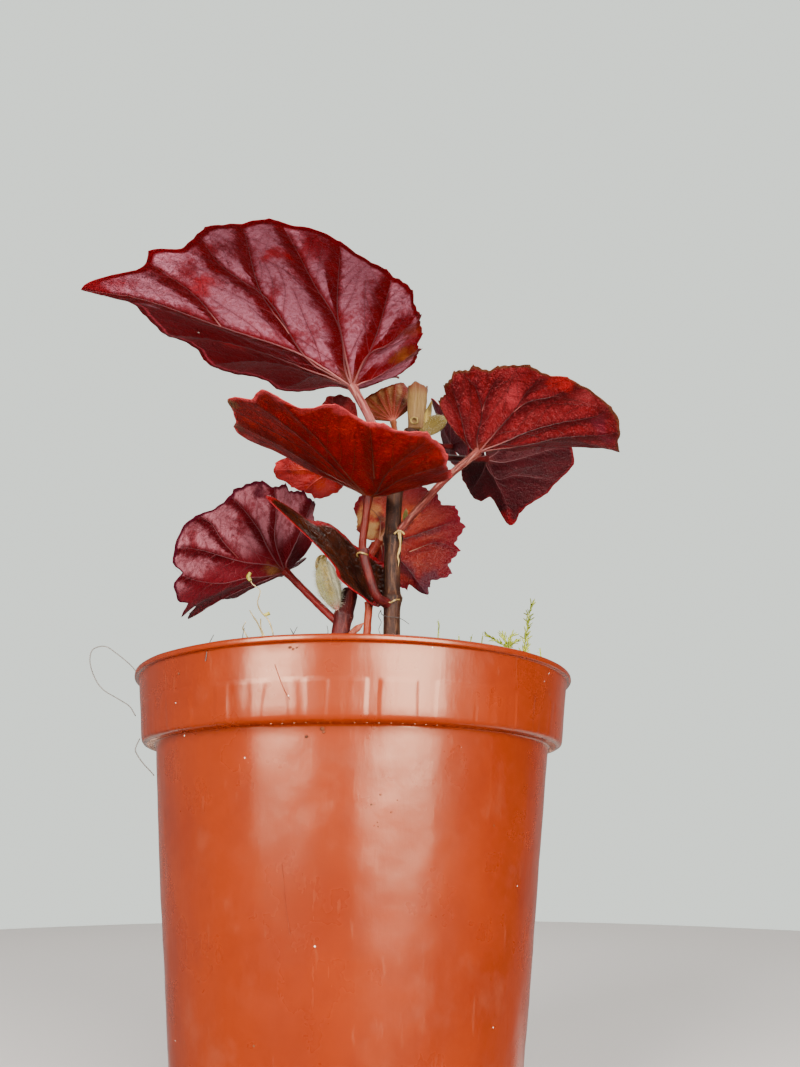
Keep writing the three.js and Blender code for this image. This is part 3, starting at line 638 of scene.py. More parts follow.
LEAVES = {
    "leaf_crown": dict(
        at=(-2.2, -4.9, 150.7), heading=203, rise=-3, roll=-8, cup=0.34, fold=0.42, sag=(2.8, 10),
        side=1, teeth=22, tooth_depth=1.6, wave=0.7, columns=18, rings=64, quilt=2.3, slot="leaf_crimson",
        outline=[
            (-174, 8), (-160, 16), (-135, 28), (-105, 34), (-80, 39), (-60, 42), (-45, 44), (-30, 47),
            (-15, 50), (-6, 55), (0, 62), (4, 61), (8, 56), (12, 53), (16, 53), (20, 49), (26, 49),
            (32, 50), (40, 50), (50, 47), (62, 41), (75, 34), (90, 29), (105, 24), (120, 20), (135, 18),
            (160, 15), (174, 10),
        ],
        ribs=[
            [(12, 0.26), (3, 0.52), (3, 0.83), (1, 0.98)], [(12, 0.25), (27, 0.59), (25, 0.83), (29, 1)],
            [(20, 0.4), (27, 0.62), (41, 0.96)],
            [(46, 0.09), (56, 0.31), (54, 0.43), (50, 0.6), (50, 0.94)],
            [(56, 0.31), (57, 0.46), (63, 0.95)], [(87, 0.13), (90, 0.31), (88, 0.52), (82, 1)],
            [(90, 0.31), (106, 0.57), (107, 0.85)], [(134, 0.19), (141, 0.37), (138, 0.71), (134, 0.95)],
            [(3, 0.53), (11, 0.76), (14, 1)], [(-6, 0.2), (-16, 0.5), (-22, 0.75), (-26, 0.98)],
            [(-30, 0.15), (-42, 0.4), (-48, 0.7), (-50, 0.98)],
            [(-60, 0.15), (-76, 0.45), (-82, 0.7), (-80, 0.98)],
            [(-95, 0.15), (-112, 0.45), (-116, 0.75), (-112, 0.98)],
        ],
        girth=1.05, stalk=[(1.8, -4.4, 143), (5.6, -2.6, 135), (8.6, -0.4, 129)],
    ),
    "leaf_right": dict(
        at=(27, -9.2, 131.9), heading=-17, rise=-14, roll=-6, cup=0.54, fold=0.69, sag=(12.5, 25.5),
        side=-1, teeth=18, tooth_depth=1.6, wave=0.5, columns=15, rings=48, quilt=1.35, slot="leaf_scarlet",
        outline=[
            (-174, 4), (-155, 9), (-130, 15), (-105, 22), (-75, 19), (-50, 18), (-30, 19), (-13, 29),
            (0, 31), (13, 32), (30, 26), (50, 22), (75, 17), (105, 16), (135, 13.5), (160, 11.5),
            (174, 4.5),
        ],
        ribs=[
            [(169, 0.3), (131, 0.51), (123, 0.86)], [(100, 0.16), (87, 0.45), (97, 0.79)],
            [(87, 0.45), (82, 0.62), (76, 0.82)], [(44, 0.22), (44, 0.44), (48, 0.65), (49, 0.85)],
            [(44, 0.44), (41, 0.58), (33, 0.76), (34, 0.98)],
            [(13, 0.17), (15, 0.34), (15, 0.53), (17, 0.87), (21, 1)],
            [(-5, 0.3), (4, 0.5), (8, 0.84), (11, 0.98)], [(-20, 0.2), (-28, 0.5), (-30, 0.95)],
            [(-60, 0.2), (-72, 0.5), (-78, 0.95)], [(-95, 0.2), (-112, 0.5), (-120, 0.95)],
        ],
        girth=0.85, stalk=[(19.4, -6.9, 125.6), (13, -3.6, 119), (8.4, -0.3, 114.4)],
    ),
    "leaf_front": dict(
        at=(2, -8.4, 120.2), heading=196, rise=7, roll=-15, cup=0.54, fold=-0.31, sag=(5, -5),
        side=1, teeth=18, tooth_depth=1.3, wave=0.9, columns=15, rings=48, quilt=1.45, slot="leaf_scarlet",
        outline=[
            (-174, 3.5), (-160, 6), (-135, 7), (-105, 8), (-75, 9), (-50, 22), (-38, 26), (-26, 33),
            (-14, 33.5), (-5, 34), (2, 33.5), (9, 34.5), (16, 36.5), (24, 34), (34, 35), (44, 31.5),
            (56, 30), (68, 25.5), (80, 26), (95, 26.5), (112, 23.5), (130, 20), (148, 18.5), (165, 15.5),
            (174, 7),
        ],
        ribs=[
            [(-12, 0.15), (-19, 0.36), (-14, 0.63), (-14, 0.86), (-14, 0.98)],
            [(2, 0.2), (6, 0.5), (8, 0.8), (10, 0.98)], [(26, 0.2), (28, 0.5), (27, 0.75), (25, 0.97)],
            [(41, 0.31), (42, 0.63), (40, 0.78), (39, 0.97)],
            [(80, 0.38), (74, 0.73), (72, 0.92), (70, 1)],
            [(104, 0.11), (90, 0.47), (94, 0.71), (98, 0.91)],
            [(108, 0.16), (107, 0.46), (115, 0.73), (120, 0.96)], [(140, 0.2), (150, 0.6), (154, 0.95)],
            [(-28, 0.2), (-38, 0.6), (-42, 0.95)],
        ],
        girth=0.88, stalk=[(1.4, -7.7, 114.5), (0.9, -6.3, 109.6), (1.1, -5.7, 108)],
    ),
    "leaf_left": dict(
        at=(-17.2, 10.3, 108.8), heading=214, rise=-28, roll=31, cup=0.19, fold=0.58, sag=(8.8, 8.7),
        side=1, teeth=18, tooth_depth=1.8, wave=0.6, columns=15, rings=48, quilt=1.45, slot="leaf_maroon",
        cuts=[(18.5, 2.2, 3.2), (5, 2, 2)],
        outline=[
            (-174, 4), (-160, 13), (-135, 13), (-105, 14), (-75, 17), (-50, 18), (-30, 25), (-13, 24),
            (0, 29.5), (13, 33), (30, 33.5), (50, 26.5), (75, 21.5), (105, 18), (135, 16.5), (160, 12),
            (174, 5),
        ],
        ribs=[
            [(33, 0.13), (24, 0.39), (27, 0.82), (27, 0.93)],
            [(26, 0.42), (34, 0.63), (39, 0.83), (39, 0.99)],
            [(47, 0.12), (55, 0.34), (58, 0.48), (57, 0.73), (55, 0.95)],
            [(64, 0.08), (72, 0.36), (82, 0.6), (84, 0.75), (84, 0.96)],
            [(92, 0.1), (104, 0.17), (123, 0.42), (125, 0.6), (126, 0.95)],
            [(0, 0.12), (8, 0.32), (9, 0.57), (17, 0.87), (22, 1)], [(-12, 0.2), (-22, 0.5), (-26, 0.95)],
            [(-50, 0.2), (-64, 0.5), (-70, 0.95)], [(-100, 0.2), (-118, 0.5), (-124, 0.95)],
        ],
        girth=0.9, stalk=[(-11.6, 7.6, 102.6), (-7, 5.4, 97.6), (-3.4, 4.1, 94)],
    ),
    "leaf_back_left": dict(
        at=(-4.4, 17.5, 141), heading=171, rise=-15, roll=42, cup=0.22, fold=0.07, sag=(1.1, 1.4),
        side=1, teeth=13, tooth_depth=1.9, wave=0.5, columns=15, rings=32, quilt=0.9, slot="leaf_scarlet",
        outline=[
            (-172, 3), (-160, 6), (-135, 8), (-105, 9), (-75, 8), (-50, 13), (-30, 14), (-13, 16),
            (0, 20), (13, 18), (30, 12), (50, 13.5), (75, 15), (105, 18), (135, 12), (160, 8), (172, 3),
        ],
        ribs=[
            [(-12, 0.33), (1, 0.39), (8, 1)], [(-20, 0.39), (-20, 0.64), (-24, 0.97)],
            [(40, 0.2), (46, 0.6), (48, 0.96)], [(80, 0.2), (92, 0.6), (98, 0.96)],
            [(-60, 0.2), (-70, 0.6), (-74, 0.96)], [(125, 0.2), (135, 0.6), (138, 0.96)],
        ],
        girth=0.85, stalk=[(0.6, 13.4, 136.4), (5.4, 6.6, 130.6), (8.5, 0.6, 125.6)],
    ),
    "leaf_low": dict(
        at=(2.7, 0.8, 98.5), heading=-156, rise=21, roll=-51, cup=0.48, fold=-0.02, sag=(4.8, 4.7),
        side=-1, teeth=14, tooth_depth=0.8, wave=0.3, columns=15, rings=32, quilt=0.7, slot="leaf_olive",
        outline=[
            (-172, 2), (-150, 2.5), (-120, 3), (-90, 4), (-60, 8), (-35, 13), (-15, 15), (0, 32),
            (15, 22.5), (35, 19.5), (60, 14.5), (90, 12.5), (108, 11), (126, 7), (148, 2.5), (172, 2),
        ],
        ribs=[
            [(0, 0.3), (1, 0.65), (0, 0.98)], [(16, 0.3), (20, 0.6), (20, 0.96)],
            [(34, 0.25), (44, 0.6), (46, 0.95)], [(60, 0.25), (78, 0.6), (84, 0.95)],
            [(-14, 0.4), (-24, 0.7), (-28, 0.95)],
        ],
        girth=0.85, stalk=[(2.3, 1, 91.9), (2, 1.4, 82), (1.9, 1.6, 58)],
    ),
    "leaf_back": dict(
        at=(5.2, 9.6, 116.9), heading=-16, rise=-54, roll=-83, cup=0.34, fold=0.23, sag=(2.1, 2.1),
        side=-1, teeth=18, tooth_depth=2.5, wave=0.4, columns=15, rings=34, quilt=1.0, slot="leaf_scarlet",
        outline=[
            (-130, 3), (-118, 4), (-100, 5), (-75, 6), (-45, 9), (-22, 12), (-8, 14.5), (0, 18.5),
            (8, 16), (22, 18), (45, 18.5), (70, 20), (95, 19.5), (120, 19.5), (145, 20), (170, 17),
            (195, 11.5), (212, 6.5), (222, 3),
        ],
        ribs=[
            [(90, 0.34), (101, 0.72), (99, 1)], [(56, 0.27), (67, 0.54), (72, 0.89)],
            [(30, 0.4), (51, 0.69), (44, 1)], [(6, 0.3), (4, 0.6), (0, 0.98)],
            [(120, 0.3), (134, 0.7), (136, 0.97)], [(150, 0.3), (168, 0.7), (172, 0.97)],
            [(-30, 0.3), (-44, 0.7), (-50, 0.95)],
        ],
        girth=0.95, stalk=[(2.6, 11.2, 112.4), (0, 9.6, 106.4), (-1.8, 4.8, 101.4)],
    ),
    "leaf_back_right": dict(
        at=(34.3, 23.1, 146.2), heading=56, rise=-54, roll=-3, cup=0.32, fold=0.27, sag=(7.7, 2),
        side=-1, teeth=13, tooth_depth=0.9, wave=0.5, columns=12, rings=30, quilt=0.9, slot="leaf_maroon",
        outline=[
            (-172, 4), (-160, 7), (-135, 9), (-105, 9), (-75, 11), (-50, 13), (-30, 14), (-13, 12),
            (0, 21), (13, 18), (30, 18), (50, 20), (75, 22.5), (105, 16), (135, 11), (160, 8), (172, 4),
        ],
        ribs=[
            [(3, 0.03), (4, 0.35), (5, 0.68), (-2, 0.99)],
            [(-13, 0.18), (10, 0.34), (39, 0.46), (51, 0.84), (53, 1)],
            [(60, 0.2), (78, 0.6), (82, 0.96)], [(105, 0.2), (118, 0.6), (122, 0.96)],
            [(-30, 0.2), (-42, 0.6), (-46, 0.96)], [(-80, 0.2), (-96, 0.6), (-100, 0.96)],
        ],
        girth=0.85, stalk=[(28, 16, 142.6), (20, 8, 139), (10.6, 0.2, 136)],
    ),
    "leaf_young": dict(
        at=(8.1, 3.4, 145.8), heading=180, rise=78, roll=90, cup=0.12, fold=0.25, sag=(0, 0),
        side=1, teeth=8, tooth_depth=0.5, wave=0.5, columns=18, rings=26, quilt=0.8, slot="leaf_straw",
        outline=[
            (-62, 4.5), (-50, 7.5), (-38, 10.5), (-28, 11), (-12, 10.8), (0, 11.4), (14, 12.4),
            (24, 13.6), (34, 12), (42, 9), (52, 5.5),
        ],
        ribs=[
            [(-54, 0.3), (-53, 0.95)], [(-42, 0.3), (-41, 0.97)], [(-29, 0.3), (-28, 0.97)],
            [(-15, 0.3), (-14, 0.97)], [(0, 0.3), (1, 0.97)], [(14, 0.3), (15, 0.97)],
            [(28, 0.3), (29, 0.97)], [(42, 0.3), (43, 0.95)],
        ],
        girth=0.7, stalk=[(8.6, 2.6, 142.6), (10, 1.4, 140.4), (11.4, 0.4, 138.8)],
    ),
    "leaf_small": dict(
        at=(25.1, 22.9, 149.6), heading=-193, rise=68, roll=23, cup=0.11, fold=0.02, sag=(3.5, 2.8),
        side=1, teeth=10, tooth_depth=0.7, wave=0.3, columns=12, rings=22, quilt=0.5, slot="leaf_maroon",
        outline=[
            (-172, 2), (-160, 5), (-135, 6), (-105, 6), (-75, 7), (-50, 7), (-30, 9), (-13, 11), (0, 17),
            (13, 13), (30, 10), (50, 9), (75, 8), (105, 8), (135, 8), (160, 6), (172, 2),
        ],
        ribs=[
            [(0, 0.3), (2, 0.98)], [(40, 0.2), (46, 0.95)], [(-40, 0.2), (-48, 0.95)],
            [(95, 0.2), (110, 0.95)], [(-95, 0.2), (-110, 0.95)],
        ],
        girth=0.75, stalk=[(22, 17, 146.6), (16.6, 8, 142.6), (11.2, 0.6, 137.6)],
    ),
}

# What every blade shares
NOTCH_AT = 1 / 3
TOOTH_MEAN = 0.7
TOOTH_SWING = 0.3
TOOTH_TURN = 2.4
FULL_TOOTH_VEIN = 10
FULL_WAVE_VEIN = 20
SAG_SPAN = 30
RIB_FROM_JUNCTION = 0.35
TOOTH_SHARPNESS = 0.62
FINE_TEETH = 3
FINE_TOOTH_SHARE = 0.4
MIDDLE_HALF_THICKNESS = 0.17
EDGE_HALF_THICKNESS = 0.05
EDGE_THINS_AT = 0.9
VEINS_END_AT = 0.985
BRANCH_EVERY = 4.2
BRANCH_ANGLE = 42
BRANCH_STEP = 0.8
BRANCH_SIDES_SHARE = 1.6
BRANCH_ANGLE_SPREAD = 7
BRANCH_STEPS = (14, 26)
BRANCH_BEND = 0.06
BRANCH_WANDER = 0.07
BRANCH_ENDS_AT = 0.95
SHORTEST_BRANCH = 4
ARCH_SHARE = 0.09
LEE_SHARE = 0.055
LEE_TURNS_AT = -1
VEIN_GIRTH = 0.1
VEIN_GIRTH_PER_LENGTH = 0.0022
BRANCH_CREASE = 0.9
PUCKER_SIZE = 6.0
CRUMPLE_SIZE = 1.7
# The mean of the arches and of the creases, and each effect's share of a leaf's quilt depth
ARCH_MEAN = 0.45
CREASE_MEAN = 0.6
CREASE_DEPTH = 0.09
PUCKER_DEPTH = 0.2
CRUMPLE_DEPTH = 0.03
BATCH = 2_000_000


def outline_length(outline, angles):
    """The way from the junction to the edge at each angle: a smooth curve through the outline."""
    at, length = np.array(outline, float).T
    last = len(at) - 1
    before = np.maximum(np.arange(last + 1) - 1, 0)
    after = np.minimum(np.arange(last + 1) + 1, last)
    slope = (length[after] - length[before]) / (at[after] - at[before])
    i = np.clip(np.searchsorted(at, angles) - 1, 0, last - 1)
    span = at[i + 1] - at[i]
    t = (angles - at[i]) / span
    return hermite(t, length[i], span * slope[i], length[i + 1], span * slope[i + 1])


def gaps_to(places, lines):
    """Batch by batch: the batch, the ways of the lines' straight pieces, and how far each place
    stands off each piece, as a vector and as a length squared. All are flat."""
    starts = np.vstack([line[:-1] for line in lines])
    ways = np.vstack([np.diff(line, axis=0) for line in lines])
    squares = np.maximum(np.einsum("ij,ij->i", ways, ways), 1e-12)
    count = max(1, BATCH // len(starts))
    for first in range(0, len(places), count):
        batch = slice(first, first + count)
        gap = places[batch, None, :] - starts
        share = np.clip(np.einsum("nsi,si->ns", gap, ways) / squares, 0, 1)
        gap -= share[..., None] * ways
        yield batch, ways, gap, np.einsum("nsi,nsi->ns", gap, gap)


def nearest_line(places, lines):
    """How far each place is from the nearest of these lines, all flat."""
    best = np.empty(len(places))
    for batch, _, _, squares in gaps_to(places, lines):
        best[batch] = np.sqrt(squares.min(axis=1))
    return best


class Blade:
    """A leaf's blade. A flat place on it is (a, c) in mm: along and beside its main vein."""

    def __init__(self, name, seed):
        self.name, self.seed = name, seed
        self.leaf = leaf = LEAVES[name]
        h, r, turn = (math.radians(leaf[key]) for key in ("heading", "rise", "roll"))
        along = Vector((math.cos(h) * math.cos(r), math.sin(h) * math.cos(r), math.sin(r)))
        across = Vector((-math.sin(h), math.cos(h), 0))
        up = along.cross(across)
        spin = Quaternion(along, turn)
        across.rotate(spin)
        up.rotate(spin)
        self.axes = np.array([along, across, up])
        self.first = leaf["outline"][0][0]
        self.last = leaf["outline"][-1][0]
        self.longest = max(length for _, length in leaf["outline"])
        self.ribs = [self.rib_line(rib) for rib in leaf["ribs"]]
        self.branches = self.grow_branches()

    def flat(self, angle, share):
        length = outline_length(self.leaf["outline"], np.asarray(angle, float)) * share
        turn = np.radians(angle)
        return np.stack([length * np.cos(turn), length * np.sin(turn)], -1)

    def angle_of(self, places):
        """The angle of each place round the junction, within the outline's own range if it can be."""
        angle = np.degrees(np.arctan2(places[:, 1], places[:, 0]))
        angle = np.where(angle > self.last, angle - 360, angle)
        return np.where(angle < self.first, angle + 360, angle)

    def share_out(self, places):
        angle = np.clip(self.angle_of(places), self.first, self.last)
        return np.hypot(places[:, 0], places[:, 1]) / outline_length(self.leaf["outline"], angle)

    def rib_line(self, rib):
        angles, shares = zip(*rib)
        knots = self.flat(angles, np.array(shares))
        if shares[0] < RIB_FROM_JUNCTION:
            knots = np.vstack([[0, 0], knots])
        return smooth_path(np.column_stack([knots, np.zeros(len(knots))]), 8)[:, :2]

    def grow_branches(self):
        """Side veins leave the ribs by turns to each side and bend outwards till they meet another."""
        chance = np.random.default_rng(self.seed)
        branches = []
        for index, rib in enumerate(self.ribs):
            others = [line for k, line in enumerate(self.ribs) if k != index]
            steps = np.linalg.norm(np.diff(rib, axis=0), axis=1)
            walked = np.concatenate([[0], np.cumsum(steps)])
            side = 1
            for distance in np.arange(BRANCH_EVERY, walked[-1] - 1, BRANCH_EVERY / BRANCH_SIDES_SHARE):
                k = int(np.searchsorted(walked, distance))
                k = min(max(k, 1), len(rib) - 1)
                side = -side
                heading = rib[k] - rib[k - 1]
                angle = math.atan2(heading[1], heading[0])
                spread = chance.uniform(-BRANCH_ANGLE_SPREAD, BRANCH_ANGLE_SPREAD)
                angle += side * math.radians(BRANCH_ANGLE + spread)
                place, line = rib[k], [rib[k]]
                for _ in range(int(chance.uniform(*BRANCH_STEPS))):
                    place = place + BRANCH_STEP * np.array([math.cos(angle), math.sin(angle)])
                    outward_way = math.atan2(place[1], place[0])
                    swing = (outward_way - angle + math.pi) % (2 * math.pi) - math.pi
                    angle += BRANCH_BEND * swing + chance.uniform(-BRANCH_WANDER, BRANCH_WANDER)
                    line.append(place)
                    spot = place[None, :]
                    at_edge = self.share_out(spot)[0] > BRANCH_ENDS_AT
                    if at_edge or nearest_line(spot, others)[0] < BRANCH_STEP:
                        break
                if len(line) > SHORTEST_BRANCH:
                    branches.append(np.array(line))
        return branches

    def lift(self, places, share, place_of_tooth=None):
        """How far the blade stands above the flat at each place, without its quilting."""
        leaf = self.leaf
        a, c = places[:, 0], places[:, 1]
        r = np.hypot(a, c)
        sag = (leaf["sag"][0] * a * np.maximum(a, 0) + leaf["sag"][1] * c * c) / SAG_SPAN ** 2
        height = leaf["cup"] * r + leaf["fold"] * (np.hypot(c, 1) - 1) - sag
        if place_of_tooth is None:
            turn = (self.angle_of(places) - self.first) / (self.last - self.first)
            place_of_tooth = turn * leaf["teeth"]
        full = r / np.maximum(share, 1e-6)
        wave = leaf["wave"] * np.sin(np.pi * place_of_tooth) * np.minimum(1, full / FULL_WAVE_VEIN)
        return height + wave * np.clip(share, 0, 1) ** 3

    def lee(self, places, rib_gap):
        """1 beside a rib on the side that lies towards the tip, falling to 0 away from it: where the
        underside's finish paints shade.
        """
        upper = [1 if line[:, 1].mean() > LEE_TURNS_AT else -1 for line in self.ribs]
        turns = np.repeat(upper, [len(line) - 1 for line in self.ribs])
        side = np.empty(len(places))
        for batch, ways, gap, squares in gaps_to(places, self.ribs):
            near = squares.argmin(axis=1)
            way, off = ways[near], gap[np.arange(len(near)), near]
            side[batch] = -turns[near] * (way[:, 0] * off[:, 1] - way[:, 1] * off[:, 0])
        return np.where(side > 0, np.exp(-(rib_gap / (LEE_SHARE * self.longest)) ** 1.5), 0)

    def quilting(self, places, share, rib_gap, branch_gap):
        """A smooth arch between each two ribs, a faint crease at each branch, and soft puckers."""
        depth = self.leaf["quilt"]
        pleat = 1 - np.exp(-rib_gap / (ARCH_SHARE * self.longest))
        crease = 1 - np.exp(-branch_gap / BRANCH_CREASE)
        pucker = lattice_noise(places[:, 0], places[:, 1], PUCKER_SIZE, self.seed + 1)
        crumple = lattice_noise(places[:, 0], places[:, 1], CRUMPLE_SIZE, self.seed + 2)
        height = depth * (pleat - ARCH_MEAN) + CREASE_DEPTH * depth * (crease - CREASE_MEAN)
        height = height + PUCKER_DEPTH * depth * pucker * pleat + CRUMPLE_DEPTH * depth * crumple
        return height * np.clip(share * 5, 0, 1) * (1 - 0.55 * np.clip(share, 0, 1) ** 10)

    def stand(self, places, height):
        """Flat places and heights as points of the object, in mm."""
        along, across, up = self.axes
        side = self.leaf["side"]
        return (np.array(self.leaf["at"]) + places[:, :1] * along + places[:, 1:] * side * across
                + height[:, None] * up)

    def lines_below(self, lines, girth, depth):
        """Vein lines laid on the underside, sunk in it by a share of their girth."""
        paths = []
        slope = math.hypot(1, self.leaf["cup"] + abs(self.leaf["fold"]))
        for line in lines:
            share = self.share_out(line)
            keep = share < VEINS_END_AT
            if keep.sum() < 4:
                continue
            line, share = line[keep], share[keep]
            rib_gap = nearest_line(line, self.ribs)
            branch_gap = nearest_line(line, self.branches) if self.branches else rib_gap + 9
            height = self.lift(line, share) + self.quilting(line, share, rib_gap, branch_gap)
            thin = girth * (1.15 - np.clip(share, 0, 1)) * np.linspace(1, 0.55, len(line))
            half = slope * MIDDLE_HALF_THICKNESS
            paths.append((self.stand(line, height - half + thin * depth), thin))
        return paths

    def make(self, below, above):
        """The blade as a closed thin shell, its underside and its upper face each of one material."""
        leaf = self.leaf
        columns, rings = leaf["teeth"] * leaf["columns"], leaf["rings"]
        place = np.arange(columns + 1) / leaf["columns"]
        angle = self.first + (self.last - self.first) * place / leaf["teeth"]
        tooth = np.floor(place + 1e-6)
        part = np.maximum(place - tooth, 0)
        notch = np.where(part < NOTCH_AT, part / NOTCH_AT, (1 - part) / (1 - NOTCH_AT))
        notch = notch ** TOOTH_SHARPNESS
        depth = leaf["tooth_depth"] * (TOOTH_MEAN + TOOTH_SWING * np.sin(TOOTH_TURN * tooth)) * notch
        fine = np.abs((place * FINE_TEETH) % 1 - 0.3)
        depth = depth + leaf["tooth_depth"] * FINE_TOOTH_SHARE * fine
        for at, width, cut in leaf.get("cuts", ()):
            depth = depth + cut * np.exp(-((angle - at) / width) ** 2)
        full = outline_length(leaf["outline"], angle)
        out = (np.arange(rings) + 1) / rings
        out = 1 - (1 - out) ** 1.25
        reach = (full - np.outer(out ** 6, depth * np.minimum(1, full / FULL_TOOTH_VEIN))) * out[:, None]
        turn = np.radians(angle)
        places = np.stack([reach * np.cos(turn), reach * np.sin(turn)], -1).reshape(-1, 2)
        share = np.repeat(out, columns + 1)
        teeth = np.tile(place, rings)
        rib_gap = nearest_line(places, self.ribs)
        branch_gap = nearest_line(places, self.branches)
        quilt = self.quilting(places, share, rib_gap, branch_gap)
        height = self.lift(places, share, teeth) + quilt
        thick = np.interp(share, [EDGE_THINS_AT, 1], [MIDDLE_HALF_THICKNESS, EDGE_HALF_THICKNESS])
        thick = thick * math.hypot(1, leaf["cup"] + abs(leaf["fold"]))
        centre = self.stand(np.zeros((1, 2)), np.zeros(1))
        up = self.axes[2]
        half = MIDDLE_HALF_THICKNESS * math.hypot(1, leaf["cup"])
        upper = np.vstack([centre + half * up, self.stand(places, height + thick)])
        lower = np.vstack([centre - half * up, self.stand(places, height - thick)])
        count = len(upper)
        spot = lambda i, k: 0 if k < 0 else 1 + k * (columns + 1) + i
        faces, sides = [], []
        for i in range(columns):
            faces.append((0, spot(i, 0), spot(i + 1, 0)))
            for k in range(rings - 1):
                faces.append((spot(i, k), spot(i, k + 1), spot(i + 1, k + 1), spot(i + 1, k)))
            sides.append((spot(i, rings - 1), spot(i + 1, rings - 1)))
        for k in range(rings):
            sides.append((spot(0, k - 1), spot(0, k)))
            sides.append((spot(columns, k), spot(columns, k - 1)))
        bottoms = [tuple(p + count for p in reversed(face)) for face in faces]
        walls = [(p, p + count, q + count, q) for p, q in sides]
        obj = new_mesh(self.name + "_blade", np.vstack([upper, lower]) * MM, faces + bottoms + walls,
                       below, above)
        kinds = [1] * len(faces) + [0] * (len(bottoms) + len(walls))
        obj.data.polygons.foreach_set("material_index", kinds)
        twice = lambda first, values: np.tile(np.concatenate([[first], values]), 2)
        mark(obj, "rib_gap", twice(0, rib_gap))
        mark(obj, "branch_gap", twice(0, branch_gap))
        mark(obj, "lee", twice(0, self.lee(places, rib_gap)))
        mark(obj, "share_out", twice(0, share))
        mark(obj, "from_edge", twice(9, np.tile(full, rings) * (1 - share)))
        # The crests of the quilting, where the underside's finish paints sheen
        low, high = np.percentile(quilt, (4, 96))
        mark(obj, "crest", twice(0.5, np.clip((quilt - low) / (high - low), 0, 1)))
        flat = np.vstack([[0, 0], places])
        flat = np.column_stack([flat, np.zeros(len(flat))]) * MM
        mark(obj, "spread", np.vstack([flat, flat]), "FLOAT_VECTOR")
        return outward(obj)


# Finishes. Sizes and depths are in metres, and a step runs between two readings.

RIBS_UNDER_BAND = 132
# Where a pale reflection is painted on the ribs under the band: the top and foot heights of its strip, and
# the reach off the middle beyond which it shows, in metres
REFLECTION_TOP = (0.0668, 0.0664)
REFLECTION_FOOT = (0.0655, 0.0661)
REFLECTION_SIDES = (0.035, 0.037)
DENTS_TOP = (0.0735, 0.0725)
DENTS_FOOT = (0.066, 0.0668)
UPRIGHT = (1, 1, 0.12)
STREAK_STRETCH = 0.93
BARK_STRETCH = (1, 1, 0.16)
FINE_DOWN = 3600.0
LEAF_VELVET = 3400.0
UPPER_VELVET = 1500.0


def pot_finish():
    """Terracotta-coloured plastic: faint mottling, upright scuffs, water marks and soil dust, with a pale
    reflection painted on the ribs under the band at the sides.
    """
    f = Finish("pot_plastic", 0.24, Specular_IOR_Level=1.0, Specular_Tint=(1.0, 0.68, 0.48, 1))
    place = f.place()
    tone = f.mottle(place, 60.0, (110, 29, 0), (118, 34, 0))
    upright = f.shade("Mapping", {"Vector": place, "Scale": UPRIGHT})
    scuffs = f.noise(upright, size=0.0012, detail=3.0, roughness=0.6)
    scuff = f.step(scuffs, 0.62, 0.75)
    tone = f.paint(tone, (225, 150, 110), scuff, 0.03)
    marks = f.noise(place, size=0.013, detail=4.0, roughness=0.65)
    tone = f.paint(tone, (206, 150, 120), f.step(marks, 0.56, 0.72), 0.03)
    tone = f.paint(tone, (95, 55, 35), f.above(f.specks(place, 420.0, amount=0.05, spread=0.13), 0.35))
    tone = f.paint(tone, (235, 220, 205), f.above(f.specks(place, 560.0, amount=0.03, spread=0.1), 0.3))
    x, y, z = f.shade("SeparateXYZ", {0: place}).outputs
    # A pale reflection painted on the ribs under the band, at the sides only
    under_band = f.times(f.step(z, *REFLECTION_TOP), f.step(z, *REFLECTION_FOOT))
    at_side = f.step(f.calc("ABSOLUTE", x), *REFLECTION_SIDES)
    teeth = f.calc("SINE", f.times(f.calc("ARCTAN2", y, x), RIBS_UNDER_BAND))
    painted_reflection = f.times(f.times(under_band, at_side), f.step(teeth, -0.9, 0.6))
    f.set("Base Color", f.paint(tone, (186, 166, 146), painted_reflection, 0.4))
    rough = f.plus(0.24, f.times(marks, 0.08))
    f.set("Roughness", f.plus(rough, f.times(scuff, 0.06)))
    low_band = f.times(f.step(z, *DENTS_TOP), f.step(z, *DENTS_FOOT))
    flat = f.shade("Mapping", {"Vector": place, "Scale": (1, 1, 0)})
    dents = f.step(f.noise(flat, size=0.0046, detail=1.0), 0.4, 0.54)
    f.bump(f.times(dents, low_band), depth=0.0001)
    f.bump(f.noise(upright, size=0.008), depth=0.00014)
    f.bump(f.noise(place, size=0.0024, detail=3.0), depth=0.00003)
    f.bump(scuffs, depth=0.00002)
    return f.material


def soil_finish():
    f = Finish("potting_soil", 0.95, Specular_IOR_Level=0.2)
    place = f.place()
    f.set("Base Color", f.mottle(place, 350.0, (30, 20, 14), (88, 62, 44)))
    f.bump(f.noise(place, size=0.0012, detail=4.0, roughness=0.7), depth=0.0006)
    return f.material


def grain_finish(name, dark, light):
    f = Finish(name, 0.85, Specular_IOR_Level=0.25)
    place = f.place()
    f.set("Base Color", f.mottle(place, 500.0, dark, light))
    f.bump(f.noise(place, size=0.0005, detail=3.0), depth=0.0002)
    return f.material


def bark_finish(name, dark, light, streak, streak_share, roughness):
    """Young bark: streaks up the stem, pale specks and a fine grain."""
    f = Finish(name, roughness, Specular_IOR_Level=0.2, Sheen_Weight=0.02, Sheen_Roughness=0.35,
               Sheen_Tint=(215, 150, 140))
    place = f.place()
    upright = f.shade("Mapping", {"Vector": place, "Scale": BARK_STRETCH})
    lines = f.noise(upright, size=0.0007, detail=3.0, roughness=0.6)
    tone = f.mottle(place, 260.0, dark, light)
    tone = f.paint(tone, streak, f.step(lines, 0.5, 0.68), streak_share)
    f.set("Base Color", f.paint(tone, streak, f.specks(place, 1500.0, amount=0.22, spread=0.3), 0.7))
    f.bump(lines, depth=0.0002)
    f.bump(f.velvet(place, FINE_DOWN)["Height"], depth=0.00005)
    return f.material


